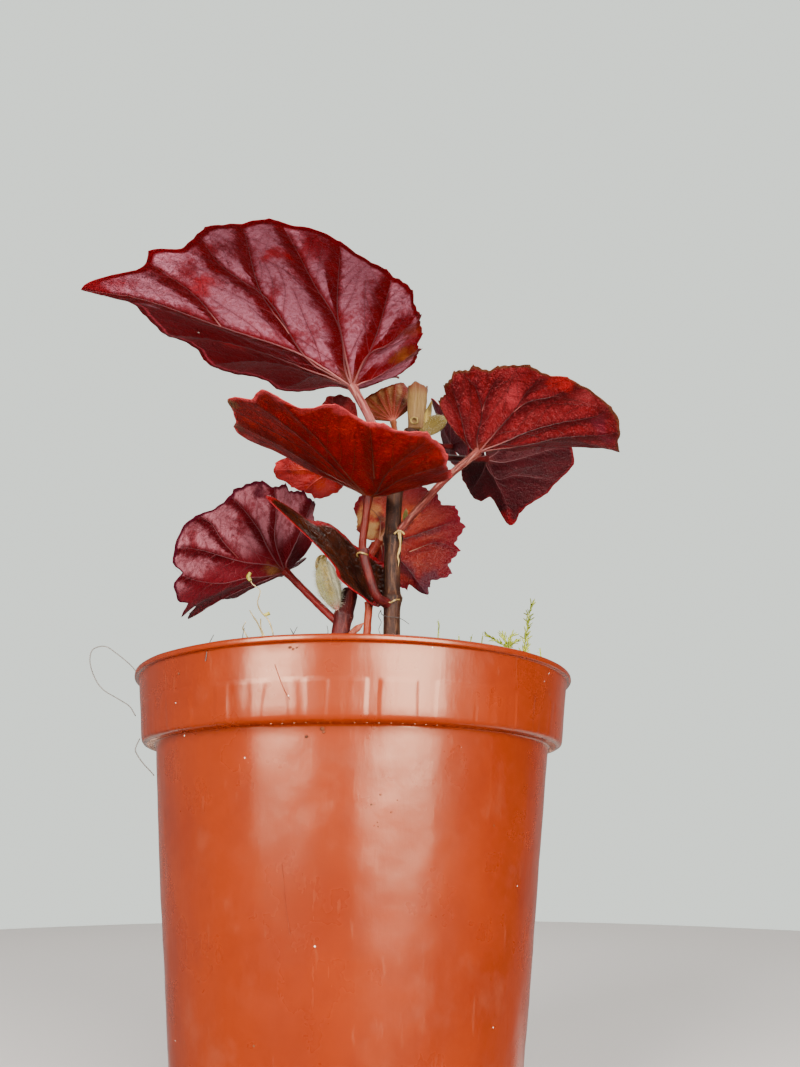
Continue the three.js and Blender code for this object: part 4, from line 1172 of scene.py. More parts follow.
def stalk_finish(name, dark, light, streak, along=(0, 0, 1)):
    """A translucent skin, of a stalk or of moss, straw and scales: streaked along itself and patchy."""
    f = Finish(name, 0.42, Specular_IOR_Level=0.22, Sheen_Weight=0.03, Sheen_Roughness=0.3,
               Sheen_Tint=(255, 170, 160))
    place = f.place()
    depth = f.shade("VectorMath", {0: place, 1: along}, operation="DOT_PRODUCT").outputs["Value"]
    inputs = {0: along, "Scale": f.times(depth, STREAK_STRETCH)}
    shift = f.shade("VectorMath", inputs, operation="SCALE")
    drawn_out = f.shade("VectorMath", {0: place, 1: shift}, operation="SUBTRACT")
    lines = f.noise(drawn_out, size=0.0005, detail=3.0, roughness=0.6)
    tone = f.mottle(place, 220.0, dark, light)
    tone = f.paint(tone, streak, f.step(lines, 0.48, 0.66), 0.75)
    tone = f.paint(tone, dark, f.step(lines, 0.44, 0.32), 0.6)
    f.set("Base Color", tone)
    f.bump(lines, depth=0.00012)
    f.bump(f.velvet(place, FINE_DOWN)["Height"], depth=0.00005)
    f.glow(tone, share=0.18)
    return f.material


def vein_finish(name, near, far):
    """A raised vein, pale near the junction and darker outwards."""
    f = Finish(name, 0.42, Specular_IOR_Level=0.45)
    tone = f.blend(f.step(f.reading("way"), 0.02, 0.38), near, far)
    f.set("Base Color", tone)
    f.bump(f.noise(f.place(), size=0.0004), depth=0.00006)
    f.glow(tone, share=0.15)
    return f.material


def hair_finish(name, colour, glow=0.3):
    """A hair or a fibre, in its colour and a shade of it."""
    f = Finish(name, 0.4, Specular_IOR_Level=0.5)
    shade = tuple(value * 0.6 for value in srgb(*colour)[:3]) + (1,)
    tone = f.blend(f.noise(f.place(), size=0.004), shade, colour)
    f.set("Base Color", tone)
    f.glow(tone, glow)
    return f.material


# The underside of each leaf. Colours are the 0 to 255 of a screen. The sheen crest colour is painted
# sheen on the crests of the quilting, and the painted shade colour goes in the lees and along the ribs.
# Stains and shade are (a, c, radius in mm, colour) on the flat blade: dried corners, scorched margins,
# the pale flesh beside a junction, red puckers and painted shade in folds.
UNDERSIDES = {
    "leaf_crown": dict(
        dark=(104, 8, 14), light=(128, 22, 30), crest=(178, 108, 127), crest_share=0.95,
        crest_span=(-0.1, 0.35), lee_share=0.85, painted_shade=(92, 4, 8), branch=(100, 24, 34),
        specular=0.06, rim_width=1.9, rim=(96, 3, 12), heart=(150, 84, 70), glow=(215, 20, 28),
        through=0.22,
        near=(180, 108, 106), far=(104, 40, 46), sheen=0.03,
        above_dark=(34, 30, 18), above_light=(66, 58, 32),
        low_side=(-1, 3, (100, 5, 14), 0.97), wide_rim=(-1, 2.6, (200, 66, 84)),
        stains_and_shade=[
            (27.2, 25.4, 2.6, (146, 16, 22)), (17.2, 27.5, 2.0, (122, 14, 22)),
            (38.4, 11, 2.2, (150, 20, 30)), (25.3, -17.7, 2.4, (150, 18, 28)),
            (60, 2, 5, (120, 12, 22)), (-9.7, 8.7, 2.6, (120, 62, 22)),
            (-7.5, 15.4, 2.2, (116, 40, 22)),
        ],
    ),
    "leaf_right": dict(
        dark=(87, 9, 12), light=(114, 14, 20), crest=(149, 53, 57), crest_share=0.4, glint=0.3,
        painted_shade=(59, 4, 9), branch=(55, 6, 8), rim=(86, 46, 27), heart=(92, 39, 25),
        glow=(182, 22, 21), through=0.25, near=(132, 67, 64), far=(55, 9, 11), sheen=0.03, specular=0.15,
        low_side=(-1, 1, (112, 15, 26), 0.85),
        above_dark=(32, 28, 14), above_light=(63, 54, 28),
        stains_and_shade=[
            (6.4, 9.8, 2.0, (144, 39, 45)), (28.5, 2.5, 1.6, (92, 22, 34)),
            (26.1, 6, 1.6, (92, 22, 34)), (17, 14, 2.4, (152, 17, 20)),
        ],
    ),
    "leaf_front": dict(
        dark=(109, 9, 6), light=(150, 19, 10), crest=(167, 37, 22), crest_share=0.25,
        painted_shade=(80, 13, 8), branch=(84, 12, 8), rim=(182, 61, 63), heart=(158, 51, 31),
        glow=(217, 27, 10), through=0.3, near=(105, 45, 26), far=(77, 24, 12), sheen=0.06,
        above_dark=(38, 24, 12), above_light=(72, 48, 26),
        lee_share=0.7, wide_rim=(1, 1.3, (172, 60, 65)),
        # The first four stains, along a fold, are painted shade
        specular=0.12, stains_and_shade=[
            (18, -8.8, 3.4, (72, 12, 15)), (12, -6.4, 2.8, (72, 12, 15)),
            (6.3, -3.8, 2.2, (79, 15, 13)), (26, -11.5, 3.0, (79, 13, 18)),
            (-8.2, 9.8, 2.4, (84, 9, 8)), (-10.4, 15.4, 2.4, (84, 9, 8)),
            (34.2, 7.3, 1.9, (88, 77, 46)), (33.8, -1.8, 1.8, (83, 69, 42)),
            (30.9, -10, 1.6, (91, 61, 47)), (27.2, -13.3, 2.0, (177, 66, 66)),
            (27.3, 20.6, 1.8, (172, 64, 69)), (20.2, 20.9, 1.6, (157, 42, 42)),
            (13.6, 24.6, 1.6, (166, 54, 59)),
        ],
    ),
    "leaf_left": dict(
        dark=(84, 6, 14), light=(108, 16, 26), crest=(164, 98, 110), crest_share=0.92,
        crest_span=(-0.1, 0.35), lee_share=0.85, painted_shade=(62, 3, 9), specular=0.08, branch=(80, 10, 20),
        rim_width=1.3, rim=(66, 8, 26), heart=(140, 92, 52), glow=(180, 18, 24), through=0.18,
        near=(116, 46, 44), far=(110, 60, 66), sheen=0.04,
        above_dark=(34, 30, 18), above_light=(66, 58, 32),
        low_side=(-1, -6, (92, 12, 22), 0.95),
        stains_and_shade=[(4.1, 1.1, 1.8, (128, 84, 48)), (5.3, 18.4, 2.0, (64, 6, 22))],
    ),
    "leaf_back_left": dict(
        dark=(118, 5, 6), light=(157, 16, 15), crest=(186, 58, 59), crest_share=0.7,
        painted_shade=(102, 6, 10), branch=(102, 4, 6), rim=(135, 6, 12), heart=(174, 48, 37),
        glow=(216, 17, 12), through=0.4, near=(192, 75, 75), far=(182, 55, 54),
        above_dark=(50, 16, 6), above_light=(81, 32, 15),
        margin=(0.55, (112, 4, 9), 0.7), lee_share=0.7,
        glow_share=0.4, stains_and_shade=[
            (11.4, 0.8, 2.2, (174, 48, 21)), (7.6, -4.6, 2.4, (169, 41, 15)),
            (4.7, -8.9, 1.8, (161, 28, 12)), (-3.9, 15.5, 2.4, (81, 3, 5)),
            (17.3, 3.7, 2.4, (182, 43, 45)),
        ],
    ),
    "leaf_low": dict(
        dark=(58, 6, 8), light=(100, 15, 18), crest=(117, 33, 35), crest_share=0.4,
        painted_shade=(65, 6, 6), branch=(49, 3, 4), rim=(125, 4, 17), heart=(133, 44, 27),
        glow=(168, 10, 15), through=0.2, near=(151, 44, 38), far=(91, 15, 18),
        above_dark=(23, 6, 2), above_light=(54, 20, 6), rim_reach=1.7, above_rough=0.26,
        stains_and_shade=[],
    ),
    "leaf_back": dict(
        dark=(73, 4, 10), light=(112, 20, 17), crest=(136, 53, 38), crest_share=0.6,
        crest_span=(0.2, 0.8), painted_shade=(58, 3, 8), branch=(112, 45, 34), rim=(92, 4, 24),
        heart=(141, 99, 62), glow=(200, 26, 15), glow_share=0.3, through=0.22,
        near=(149, 99, 74), far=(52, 4, 10), specular=0.12,
        above_dark=(48, 36, 19), above_light=(79, 62, 33),
        margin=(0.4, (77, 2, 14), 0.9), lee_share=0.85,
        stains_and_shade=[
            (14.4, 3.1, 3.4, (65, 26, 36)), (16.5, -0.3, 2.8, (65, 28, 39)),
            (10, 0, 2.4, (62, 20, 27)), (7, 5.7, 2.6, (99, 16, 14)),
            (-4.3, 0.5, 2.8, (154, 124, 77)), (-9.6, 2.8, 3.4, (146, 92, 52)),
            (-9.4, -1.2, 2.2, (149, 112, 67)), (-3, 9, 3.0, (154, 63, 27)),
        ],
    ),
    "leaf_back_right": dict(
        dark=(41, 3, 8), light=(62, 7, 14), crest=(75, 21, 27), crest_share=0.3,
        painted_shade=(68, 22, 27), branch=(34, 2, 5), rim=(94, 5, 14), heart=(94, 39, 39),
        glow=(125, 5, 14), through=0.22, near=(102, 50, 51), far=(81, 32, 36),
        above_dark=(22, 9, 5), above_light=(46, 25, 12),
        specular=0.12, lee_share=0.3, stains_and_shade=[(20, 0, 3.6, (129, 7, 18))],
    ),
    "leaf_young": dict(
        dark=(77, 35, 8), light=(109, 64, 27), crest=(146, 100, 65), crest_share=0.7,
        painted_shade=(111, 38, 24), branch=(72, 25, 8), rim=(92, 8, 5), heart=(86, 33, 6),
        glow=(135, 53, 12), through=0.3, near=(163, 85, 67), far=(139, 49, 39),
        above_dark=(57, 25, 5), above_light=(86, 45, 13),
        stains_and_shade=[(4, -6, 4, (83, 22, 4)), (12, 6, 2.4, (92, 12, 6))],
    ),
    "leaf_small": dict(
        dark=(56, 16, 26), light=(86, 26, 36), crest=(100, 44, 54), crest_share=0.4,
        painted_shade=(60, 14, 22), branch=(50, 10, 16), rim=(140, 24, 36), heart=(110, 60, 60),
        glow=(180, 24, 34), through=0.25, near=(120, 70, 74), far=(90, 40, 46),
        above_dark=(34, 30, 18), above_light=(66, 58, 32), stains_and_shade=[],
    ),
}


def stain_and_shade(f, tone, spread, stains_and_shade):
    """Ragged round stains and patches of painted shade, each (a, c, radius in mm, colour) on the flat blade.
    """
    ragged = f.minus(f.noise(spread, size=0.0035, detail=3.0), 0.5)
    for a, c, radius, colour in stains_and_shade:
        radius *= MM
        inputs = {0: spread, 1: (a * MM, c * MM, 0)}
        away = f.shade("VectorMath", inputs, operation="DISTANCE").outputs["Value"]
        reach = f.calc("MULTIPLY_ADD", ragged, 4.0 * radius, away)
        tone = f.paint(tone, colour, f.step(reach, 1.4 * radius, 0.2 * radius), 0.85)
    return tone


def underside_finish(name, look):
    """The red underside of a leaf: mottled flesh, painted sheen on the crests, painted shade in the lees and
    along the ribs, veins, velvet grain and painted glints.
    """
    f = Finish(name + "_underside", 0.42, Specular_IOR_Level=look.get("specular", 0.25),
               Sheen_Roughness=0.3, Sheen_Weight=look.get("sheen", 0.03), Sheen_Tint=look["crest"])
    spread = f.reading("spread", "Vector")
    beside = f.shade("SeparateXYZ", {0: spread}).outputs["Y"]
    share, edge = f.reading("share_out"), f.reading("from_edge")
    broken = f.noise(spread, size=0.0045, detail=4.0, roughness=0.62)
    uneven = f.minus(broken, 0.5)
    # Painted shade on the side of each rib that lies towards the tip, with ragged edges
    shaded = f.step(f.calc("MULTIPLY_ADD", uneven, 1.3, f.reading("lee")), 0.22, 0.7)
    # Painted sheen on the crests of the quilting, left out where painted shade lies, in patches with a
    # crumpled grain
    crest = f.step(f.reading("crest"), *look.get("crest_span", (0.4, 0.95)))
    crest = f.times(crest, f.minus(1.0, shaded))
    patchy = f.times(crest, f.step(f.noise(spread, size=0.009, detail=4.0), 0.3, 0.55))
    crumple = f.noise(spread, size=0.0011, detail=3.0, roughness=0.62)
    patchy = f.times(patchy, f.plus(0.72, f.step(crumple, 0.4, 0.62)), clamp=True)
    tone = f.mottle(spread, 150.0, look["dark"], look["light"])
    # Painted sheen laid over the flesh
    tone = f.paint(tone, look["crest"], patchy, look["crest_share"])
    # Painted shade in the lees
    tone = f.paint(tone, look["painted_shade"], shaded, look.get("lee_share", 0.6))
    net = f.net(spread)
    tone = f.paint(tone, look["branch"], net["Mask"], 0.14)
    tone = f.paint(tone, look["branch"], f.step(f.reading("branch_gap"), 0.7, 0.05), 0.3)
    # Along each rib its dark line, deepened by painted shade in the groove
    tone = f.paint(tone, look["painted_shade"], f.step(f.reading("rib_gap"), 0.9, 0.15), 0.6)
    grain = f.velvet(spread, LEAF_VELVET)
    # Painted glints of sheen on single velvet cells, more of them on the crests
    bright = f.calc("MULTIPLY_ADD", patchy, 0.3, look.get("glint", 0.08))
    tone = f.paint(tone, look["crest"], grain["Glint"], bright)
    tone = f.paint(tone, look["heart"], f.step(share, 0.15, 0.02), 0.6)
    if "low_side" in look:
        sign, reach, colour, most = look["low_side"]
        low = f.step(f.times(beside, sign), (reach - 2) * MM, (reach + 1.5) * MM)
        tone = f.paint(tone, colour, low, most)
    if "margin" in look:
        reach, colour, most = look["margin"]
        wandering = f.calc("MULTIPLY_ADD", uneven, 0.35, share)
        tone = f.paint(tone, colour, f.step(wandering, reach, 0.97), most)
    wander = f.times(f.noise(spread, size=0.003), 0.8)
    if "wide_rim" in look:
        sign, reach, colour = look["wide_rim"]
        at_side = f.step(f.times(beside, sign), 0.004, 0.009)
        wide = f.step(f.calc("MULTIPLY_ADD", wander, 1.6, edge), reach + 0.8, reach - 0.4)
        tone = f.paint(tone, colour, f.times(wide, at_side), 0.85)
    width = look.get("rim_width", 1.0)
    tone = f.paint(tone, look["rim"], f.step(f.plus(edge, wander), width + 0.4, width - 0.4))
    tone = stain_and_shade(f, tone, spread, look["stains_and_shade"])
    # Small whitish specks: dust and droplets, with painted glints on them
    tone = f.paint(tone, (235, 225, 215), f.above(f.specks(spread, 260.0, amount=0.06, spread=0.06), 0.3))
    f.set("Base Color", tone)
    f.set("Roughness", f.minus(0.44, f.times(grain["Glint"], 0.16)))
    f.bump(crumple, depth=0.0003)
    f.bump(net["Height"], depth=0.00009)
    f.bump(grain["Height"], depth=0.00014)
    f.glow(f.blend(look.get("glow_share", 0.75), tone, look["glow"]), look["through"])
    return f.material


def upper_finish(name, look):
    """The dark upper face: olive brown, glossy on the puckers, with painted shade along the sunken ribs and
    the rim's colour at the edge.
    """
    f = Finish(name + "_upper", 0.35, Specular_IOR_Level=0.3, Sheen_Weight=0.02,
               Sheen_Roughness=0.4, Sheen_Tint=(190, 180, 150))
    spread = f.reading("spread", "Vector")
    tone = f.mottle(spread, 240.0, look["above_dark"], look["above_light"])
    # Painted shade along the sunken ribs
    tone = f.paint(tone, look["above_dark"], f.step(f.reading("rib_gap"), 1.0, 0.1), 0.5)
    wander = f.times(f.noise(spread, size=0.002), 1.0)
    reach = look.get("rim_reach", 1.0)
    rim = f.step(f.plus(f.reading("from_edge"), wander), reach + 0.8, reach - 0.2)
    tone = f.paint(tone, look["rim"], rim)
    grain = f.velvet(spread, UPPER_VELVET)
    tone = f.paint(tone, look["above_light"], grain["Glint"], 0.2)
    f.set("Base Color", tone)
    gloss = f.times(grain["Glint"], 0.12)
    f.set("Roughness", f.minus(look.get("above_rough", 0.5), gloss))
    f.bump(f.net(spread)["Height"], depth=0.0001)
    f.bump(grain["Height"], depth=0.0001)
    f.glow(f.blend(0.6, tone, look["glow"]), look["through"])
    return f.material


# Stalk colours: dark, light and streak
STALKS = {
    "leaf_crown": ((96, 30, 32), (132, 62, 60), (170, 110, 102)),
    "leaf_right": ((76, 22, 18), (108, 42, 36), (160, 96, 84)),
    "leaf_front": ((68, 6, 2), (89, 15, 4), (104, 34, 17)),
    "leaf_left": ((82, 6, 6), (105, 15, 12), (120, 32, 26)),
    "leaf_back_left": ((105, 27, 22), (132, 47, 40), (145, 72, 62)),
    "leaf_low": ((105, 27, 7), (129, 44, 18), (139, 62, 37)),
    "leaf_back": ((99, 22, 13), (126, 37, 22), (134, 62, 42)),
    "leaf_back_right": ((58, 5, 7), (79, 13, 14), (99, 32, 32)),
    "leaf_young": ((110, 51, 27), (129, 72, 44), (139, 86, 62)),
    "leaf_small": ((58, 5, 7), (79, 13, 14), (99, 32, 32)),
}


def make_leaf(number, name):
    leaf, look = LEAVES[name], UNDERSIDES[name]
    blade = Blade(name, 100 + number)
    skin = blade.make(underside_finish(name, look), upper_finish(name, look))
    finish_piece(skin, leaf["slot"], name)
    vein = vein_finish(name + "_vein", look["near"], look["far"])
    girth = VEIN_GIRTH + VEIN_GIRTH_PER_LENGTH * blade.longest
    stem_piece(name + "_ribs", blade.lines_below(blade.ribs, girth, 0.3), vein, leaf["slot"], sides=8)
    side_vein = vein_finish(name + "_side_vein", look["light"], look["branch"])
    stem_piece(name + "_side_veins", blade.lines_below(blade.branches, girth * 0.38, 0.2), side_vein,
               leaf["slot"], sides=6)
    along = (Vector(leaf["stalk"][-1]) - Vector(leaf["at"])).normalized()
    stalk = stalk_finish(name + "_stalk", *STALKS[name], along)
    path = smooth_path([leaf["at"], *leaf["stalk"]], 12)
    way = np.linspace(0, 1, len(path))
    girths = leaf["girth"] * (1 + 0.3 * np.exp(-way / 0.05) + 0.14 * np.exp(-(1 - way) / 0.05))
    stem = stem_piece(name + "_stalk", [(path, girths)], stalk, leaf["slot"], name, lump=0.0003)
    down = hair_finish(name + "_hair", STALKS[name][2])
    hairs_on(name + "_hairs", [stem.data], down, leaf["slot"], 1.1, 0.9, 300 + number, slimness=0.022)


for number, name in enumerate(LEAVES):
    make_leaf(number, name)


# Pot and soil

POT_HEIGHT = 80
LIP_RADIUS = 45
LIP_HEIGHT = 1.6
LIP_OVERHANG = 0.9
BAND_HEIGHT = 13.6
BAND_FOOT_RADIUS = 42.3
BODY_TOP_RADIUS = 39.6
BASE_RADIUS = 30
WALL_THICKNESS = 1.3
FLOOR_THICKNESS = 1.6
DRAIN_HOLES = 8
DRAIN_RADIUS = 3
DRAIN_CIRCLE = 22
SOIL_TOP = 74
SOIL_CROWN = 75.2
SOIL_GAP = 0.3
SOIL_RINGS = 56
SOIL_SIDES = 160
POT_SIDES = 240
RIB_SIZE = (1.6, 0.24, 0.12)
RIB_RING_OUT = 0.75
LIP_LOOK = 1.15
# The hollow ring under the pot, as radius, height and rounding
FOOT_RING = [(22, 0, 0), (24, 0.6, 0.4), (27, 0.6, 0.4), (28.5, 0, 0.4)]
# Heights, and the radii that only the outside of the wall goes beyond there
OUTSIDE = ([0, 66, 66.5, 80], [29, 38.9, 41, 43.4])


def eased(profile, turns=5):
    """A profile whose corners (given as radius, height and rounding) are bent round."""
    points = []
    last = len(profile) - 1
    for k, (r, z, rounding) in enumerate(profile):
        here = np.array([r, z], float)
        if rounding == 0 or k in (0, last):
            points.append(tuple(here))
            continue
        before = np.array(profile[k - 1][:2], float) - here
        after = np.array(profile[k + 1][:2], float) - here
        start = here + before / np.linalg.norm(before) * rounding
        end = here + after / np.linalg.norm(after) * rounding
        for t in np.linspace(0, 1, turns):
            points.append(tuple((1 - t) ** 2 * start + 2 * t * (1 - t) * here + t * t * end))
    return points


def filled_in(profile, longest):
    """The same profile with long straight stretches split, so that they can be shaped."""
    points = [profile[0]]
    for start, end in zip(profile[:-1], profile[1:]):
        parts = max(1, math.ceil(math.dist(start, end) / longest))
        for k in range(1, parts + 1):
            points.append(tuple(np.array(start) + (np.array(end) - start) * k / parts))
    return points


def lathe(name, profile, sides, material, shape):
    """A closed body turned about Z from a profile in mm that starts and ends on the axis, then shaped."""
    points, faces = turned(profile, sides)
    return outward(new_mesh(name, shape(np.array(points)) * MM, faces, material))


def pot_marks(points):
    """Walls that aren't quite round."""
    radius = np.hypot(points[:, 0], points[:, 1])
    angle = np.arctan2(points[:, 1], points[:, 0])
    z = points[:, 2]
    outside = radius > np.interp(z, *OUTSIDE)
    uneven = 0.16 * lattice_noise(angle * 40, z * 0.4, 9.0, 7) + 0.05 * lattice_noise(angle * 40, z, 3.0, 8)
    push = np.where(outside & (z > 2), uneven, 0)
    share = (radius + push) / np.maximum(radius, 1e-6)
    return points * np.column_stack([share, share, np.ones(len(share))])


def make_pot(material):
    foot = POT_HEIGHT - BAND_HEIGHT
    band_top = LIP_RADIUS - LIP_OVERHANG
    profile = [
        (0.001, 0, 0), *FOOT_RING, (BASE_RADIUS, 0, 1.2),
        (BODY_TOP_RADIUS, foot, 0.5), (BAND_FOOT_RADIUS, foot, 1.1), (band_top, POT_HEIGHT - LIP_LOOK, 0.3),
        (LIP_RADIUS, POT_HEIGHT - LIP_LOOK, 0.4), (LIP_RADIUS, POT_HEIGHT, 0.5),
        (band_top - WALL_THICKNESS, POT_HEIGHT, 0.5),
        (BAND_FOOT_RADIUS - WALL_THICKNESS, foot + WALL_THICKNESS, 0.5),
        (BODY_TOP_RADIUS - WALL_THICKNESS, foot + WALL_THICKNESS, 0.5),
        (BASE_RADIUS - WALL_THICKNESS, FLOOR_THICKNESS, 0.8), (0.001, FLOOR_THICKNESS, 0),
    ]
    pot = lathe("pot_shell", filled_in(eased(profile), 1.6), POT_SIDES, material, pot_marks)
    angles = (np.arange(DRAIN_HOLES) + 0.5) * 2 * math.pi / DRAIN_HOLES
    cutter = bmesh.new()
    for angle in angles:
        place = Vector((DRAIN_CIRCLE * math.cos(angle), DRAIN_CIRCLE * math.sin(angle), 0)) * MM
        made = bmesh.ops.create_cone(cutter, cap_ends=True, segments=24, radius1=DRAIN_RADIUS * MM,
                                     radius2=DRAIN_RADIUS * MM, depth=4 * FLOOR_THICKNESS * MM)
        bmesh.ops.translate(cutter, verts=made["verts"], vec=place)
    mesh = bpy.data.meshes.new("drain")
    cutter.to_mesh(mesh)
    cutter.free()
    drain = link(bpy.data.objects.new("drain", mesh))
    cut = pot.modifiers.new("drain", "BOOLEAN")
    cut.object = drain
    cut.operation = "DIFFERENCE"
    depsgraph = bpy.context.evaluated_depsgraph_get()
    holed = bpy.data.meshes.new_from_object(pot.evaluated_get(depsgraph))
    pot.modifiers.clear()
    pot.data = holed
    bpy.data.objects.remove(drain)
    finish_piece(pot, "pot_plastic", "pot")
    make_ribs(material)


def make_ribs_tree():
    """Thin upright ribs round a ring, each a box set radially."""
    g = GrowTree("ribs round a ring", Count=60, Ring_radius=0.04, Height=0.06,
                 Size=(0.002, 0.0005, 0.003))
    box = g.geo("MeshCube", {"Size": g.given["Size"]})
    line = g.geo("MeshLine", {"Count": g.given["Count"], "Offset": (0, 0, 0)})
    angle = g.calc("DIVIDE", g.times(g.geo("InputIndex"), 2 * math.pi), g.given["Count"])
    x = g.times(g.calc("COSINE", angle), g.given["Ring radius"])
    y = g.times(g.calc("SINE", angle), g.given["Ring radius"])
    place = g.shade("CombineXYZ", {"X": x, "Y": y, "Z": g.given["Height"]})
    ring = g.geo("SetPosition", {"Geometry": line, "Position": place})
    return g.finish(g.scatter(ring, box, g.shade("CombineXYZ", {"Z": angle})))


def make_ribs(material):
    """Small ribs under the band's shoulder, in the corner between band and body."""
    foot = POT_HEIGHT - BAND_HEIGHT
    size = tuple(length * MM for length in RIB_SIZE)
    ribs = grow("pot_shoulder_ribs", bpy.data.meshes.new("ribs"), make_ribs_tree(), count=RIBS_UNDER_BAND,
                ring_radius=(BODY_TOP_RADIUS + RIB_RING_OUT) * MM, height=(foot - 0.02) * MM, size=size,
                material=material)
    finish_piece(ribs, "pot_plastic")


GRAINS_UPWARD = 0.55
# Each grain of the soil: name, dark, light, grains per mm², smallest, largest, stretch, roughness,
# seed and detail
SOIL_GRAINS = [
    ("soil_crumbs", (34, 24, 17), (84, 60, 42), 0.42, 0.3, 1.1, (1, 1, 0.8), 0.35, 31, 1),
    ("soil_clods", (26, 18, 13), (70, 48, 34), 0.05, 1.0, 2.1, (1, 1, 0.75), 0.4, 32, 2),
    ("soil_bark", (92, 54, 34), (142, 94, 60), 0.03, 0.9, 2.3, (1.5, 0.7, 0.3), 0.25, 33, 1),
    ("soil_perlite", (214, 208, 196), (240, 236, 226), 0.012, 0.6, 1.3, (1, 1, 0.85), 0.3, 34, 2),
]


def soil_lumps(points):
    """Lumps in three sizes on the bed's top, lower beside the wall."""
    out = points.copy()
    top = points[:, 2] > SOIL_TOP - 2
    x, y = points[:, 0], points[:, 1]
    lumps = 0.9 * lattice_noise(x, y, 6.0, 21) + 0.6 * lattice_noise(x, y, 2.4, 22)
    lumps = lumps + 0.35 * lattice_noise(x, y, 1.1, 23)
    near_wall = np.clip((BAND_FOOT_RADIUS - WALL_THICKNESS - np.hypot(x, y)) / 3, 0.2, 1)
    out[:, 2] += np.where(top, lumps * near_wall, 0)
    return out


def make_soil():
    shoulder = POT_HEIGHT - BAND_HEIGHT + WALL_THICKNESS
    gap = SOIL_GAP
    slope = (BODY_TOP_RADIUS - BASE_RADIUS) / (shoulder - FLOOR_THICKNESS)
    inner = lambda z: BASE_RADIUS + slope * (z - FLOOR_THICKNESS) - WALL_THICKNESS - gap
    wall = BAND_FOOT_RADIUS - WALL_THICKNESS
    side = [
        (0.001, FLOOR_THICKNESS + gap), (inner(FLOOR_THICKNESS + gap), FLOOR_THICKNESS + gap),
        (inner(shoulder + gap) - 0.2, shoulder + gap), (wall - gap - 0.1, shoulder + gap),
        (wall - 0.2, SOIL_TOP - 0.6),
    ]
    top = [(wall - 1.4, SOIL_TOP)]
    for radius in np.linspace(wall - 2.2, 0.001, SOIL_RINGS):
        top.append((radius, SOIL_TOP + (SOIL_CROWN - SOIL_TOP) * (1 - (radius / wall) ** 2)))
    soil = lathe("soil_bed", side + top, SOIL_SIDES, soil_finish(), soil_lumps)
    finish_piece(soil, "potting_soil", "soil")
    bed = soil.data.copy()
    for name, dark, light, density, least, most, stretch, rough, seed, detail in SOIL_GRAINS:
        grains = grow(name, bed, CRUMB_TREE, grains_per_square_metre=density * 1e6, smallest=least * MM,
                      largest=most * MM, stretch=stretch, roughness=rough, upward=GRAINS_UPWARD, seed=seed,
                      detail=detail, material=grain_finish(name, dark, light))
        finish_piece(grains, "potting_soil")


make_pot(pot_finish())
make_soil()


# Stems

CANE_RADIUS = 1.85
CANE_PATH = [
    (7.6, 0.2, 58), (7.7, 0, 91.7), (7.8, 0, 108.5), (8.5, 0, 126), (10.4, 0.2, 135), (12.3, 0.3, 141.6),
]
CANE_NODES = [99, 113.5, 127.5]
CANE_NODE_RADIUS = 2.35
CANE_NODE_SPAN = 1.3
# The raised ring of a node and the dip beside it: girth, height over the node, and span, in mm
NODE_RING = (0.14, 0.5, 0.22)
NODE_DIP = (-0.1, -0.6, 0.3)
SHOOT_RADIUS = 2.05
SHOOT_PATH = [(-4.2, 3.6, 58), (-3.5, 4, 92.6), (-1.6, 4.3, 102.6)]
SHOOT_NARROWS_AT = 101
SHOOT_RING_AT = 96.4
SPUR_RADIUS = 1.02
SPUR_PATH = [(6.9, -0.8, 97.8), (4.3, -3.7, 98.6), (2.3, -5.2, 103.5), (1, -5.8, 108.6)]
SPUR_COLLAR_RADIUS = 1.4


def cane_girths(path):
    """Swollen at each node, with a thin raised ring and a dip beside it."""
    girth = np.full(len(path), CANE_RADIUS)
    for node in CANE_NODES:
        for height, over, span in ((CANE_NODE_RADIUS - CANE_RADIUS, 0, CANE_NODE_SPAN), NODE_RING, NODE_DIP):
            girth = girth + height * np.exp(-((path[:, 2] - node - over) / span) ** 2)
    return girth


def make_stems():
    bark = bark_finish("cane_bark", (27, 9, 4), (50, 24, 12), (101, 67, 41), 0.4, 0.55)
    maroon = bark_finish("shoot_bark", (47, 5, 6), (71, 11, 11), (121, 50, 38), 0.3, 0.46)
    path = smooth_path(CANE_PATH, 48)
    cane = stem_piece("stem_main_cane", [(path, cane_girths(path))], bark, "stem_bark", "stem_main",
                      sides=28, lump=0.00025, lumps=350.0)
    path = smooth_path(SHOOT_PATH, 40)
    height = path[:, 2]
    girths = SHOOT_RADIUS * (1 - 0.25 * np.clip((height - SHOOT_NARROWS_AT) / 1.6, 0, 1) ** 2)
    girths = girths + 0.25 * np.exp(-((height - SHOOT_RING_AT) / 0.9) ** 2)
    shoot = stem_piece("stem_second_cane", [(path, girths)], maroon, "stem_bark", "stem_second",
                       sides=28, lump=0.0003, lumps=300.0)
    path = smooth_path(SPUR_PATH, 20)
    way = np.linspace(0, 1, len(path))
    girths = SPUR_RADIUS * (1 + 0.35 * np.exp(-way / 0.12))
    girths = girths + (SPUR_COLLAR_RADIUS - SPUR_RADIUS) * np.exp(-((1 - way) / 0.08) ** 2)
    spur = stem_piece("spur_front_cane", [(path, girths)], maroon, "stem_bark", "spur_front", sides=20,
                      lump=0.0002, lumps=400.0)
    down = hair_finish("stem_down", (190, 120, 100))
    hairs_on("stem_down", [cane.data, shoot.data, spur.data], down, "stem_bark", 0.35, 0.8, 41, 0.02)


make_stems()


# Scales, sheath and bud, with places and sizes in mm and leans in degrees

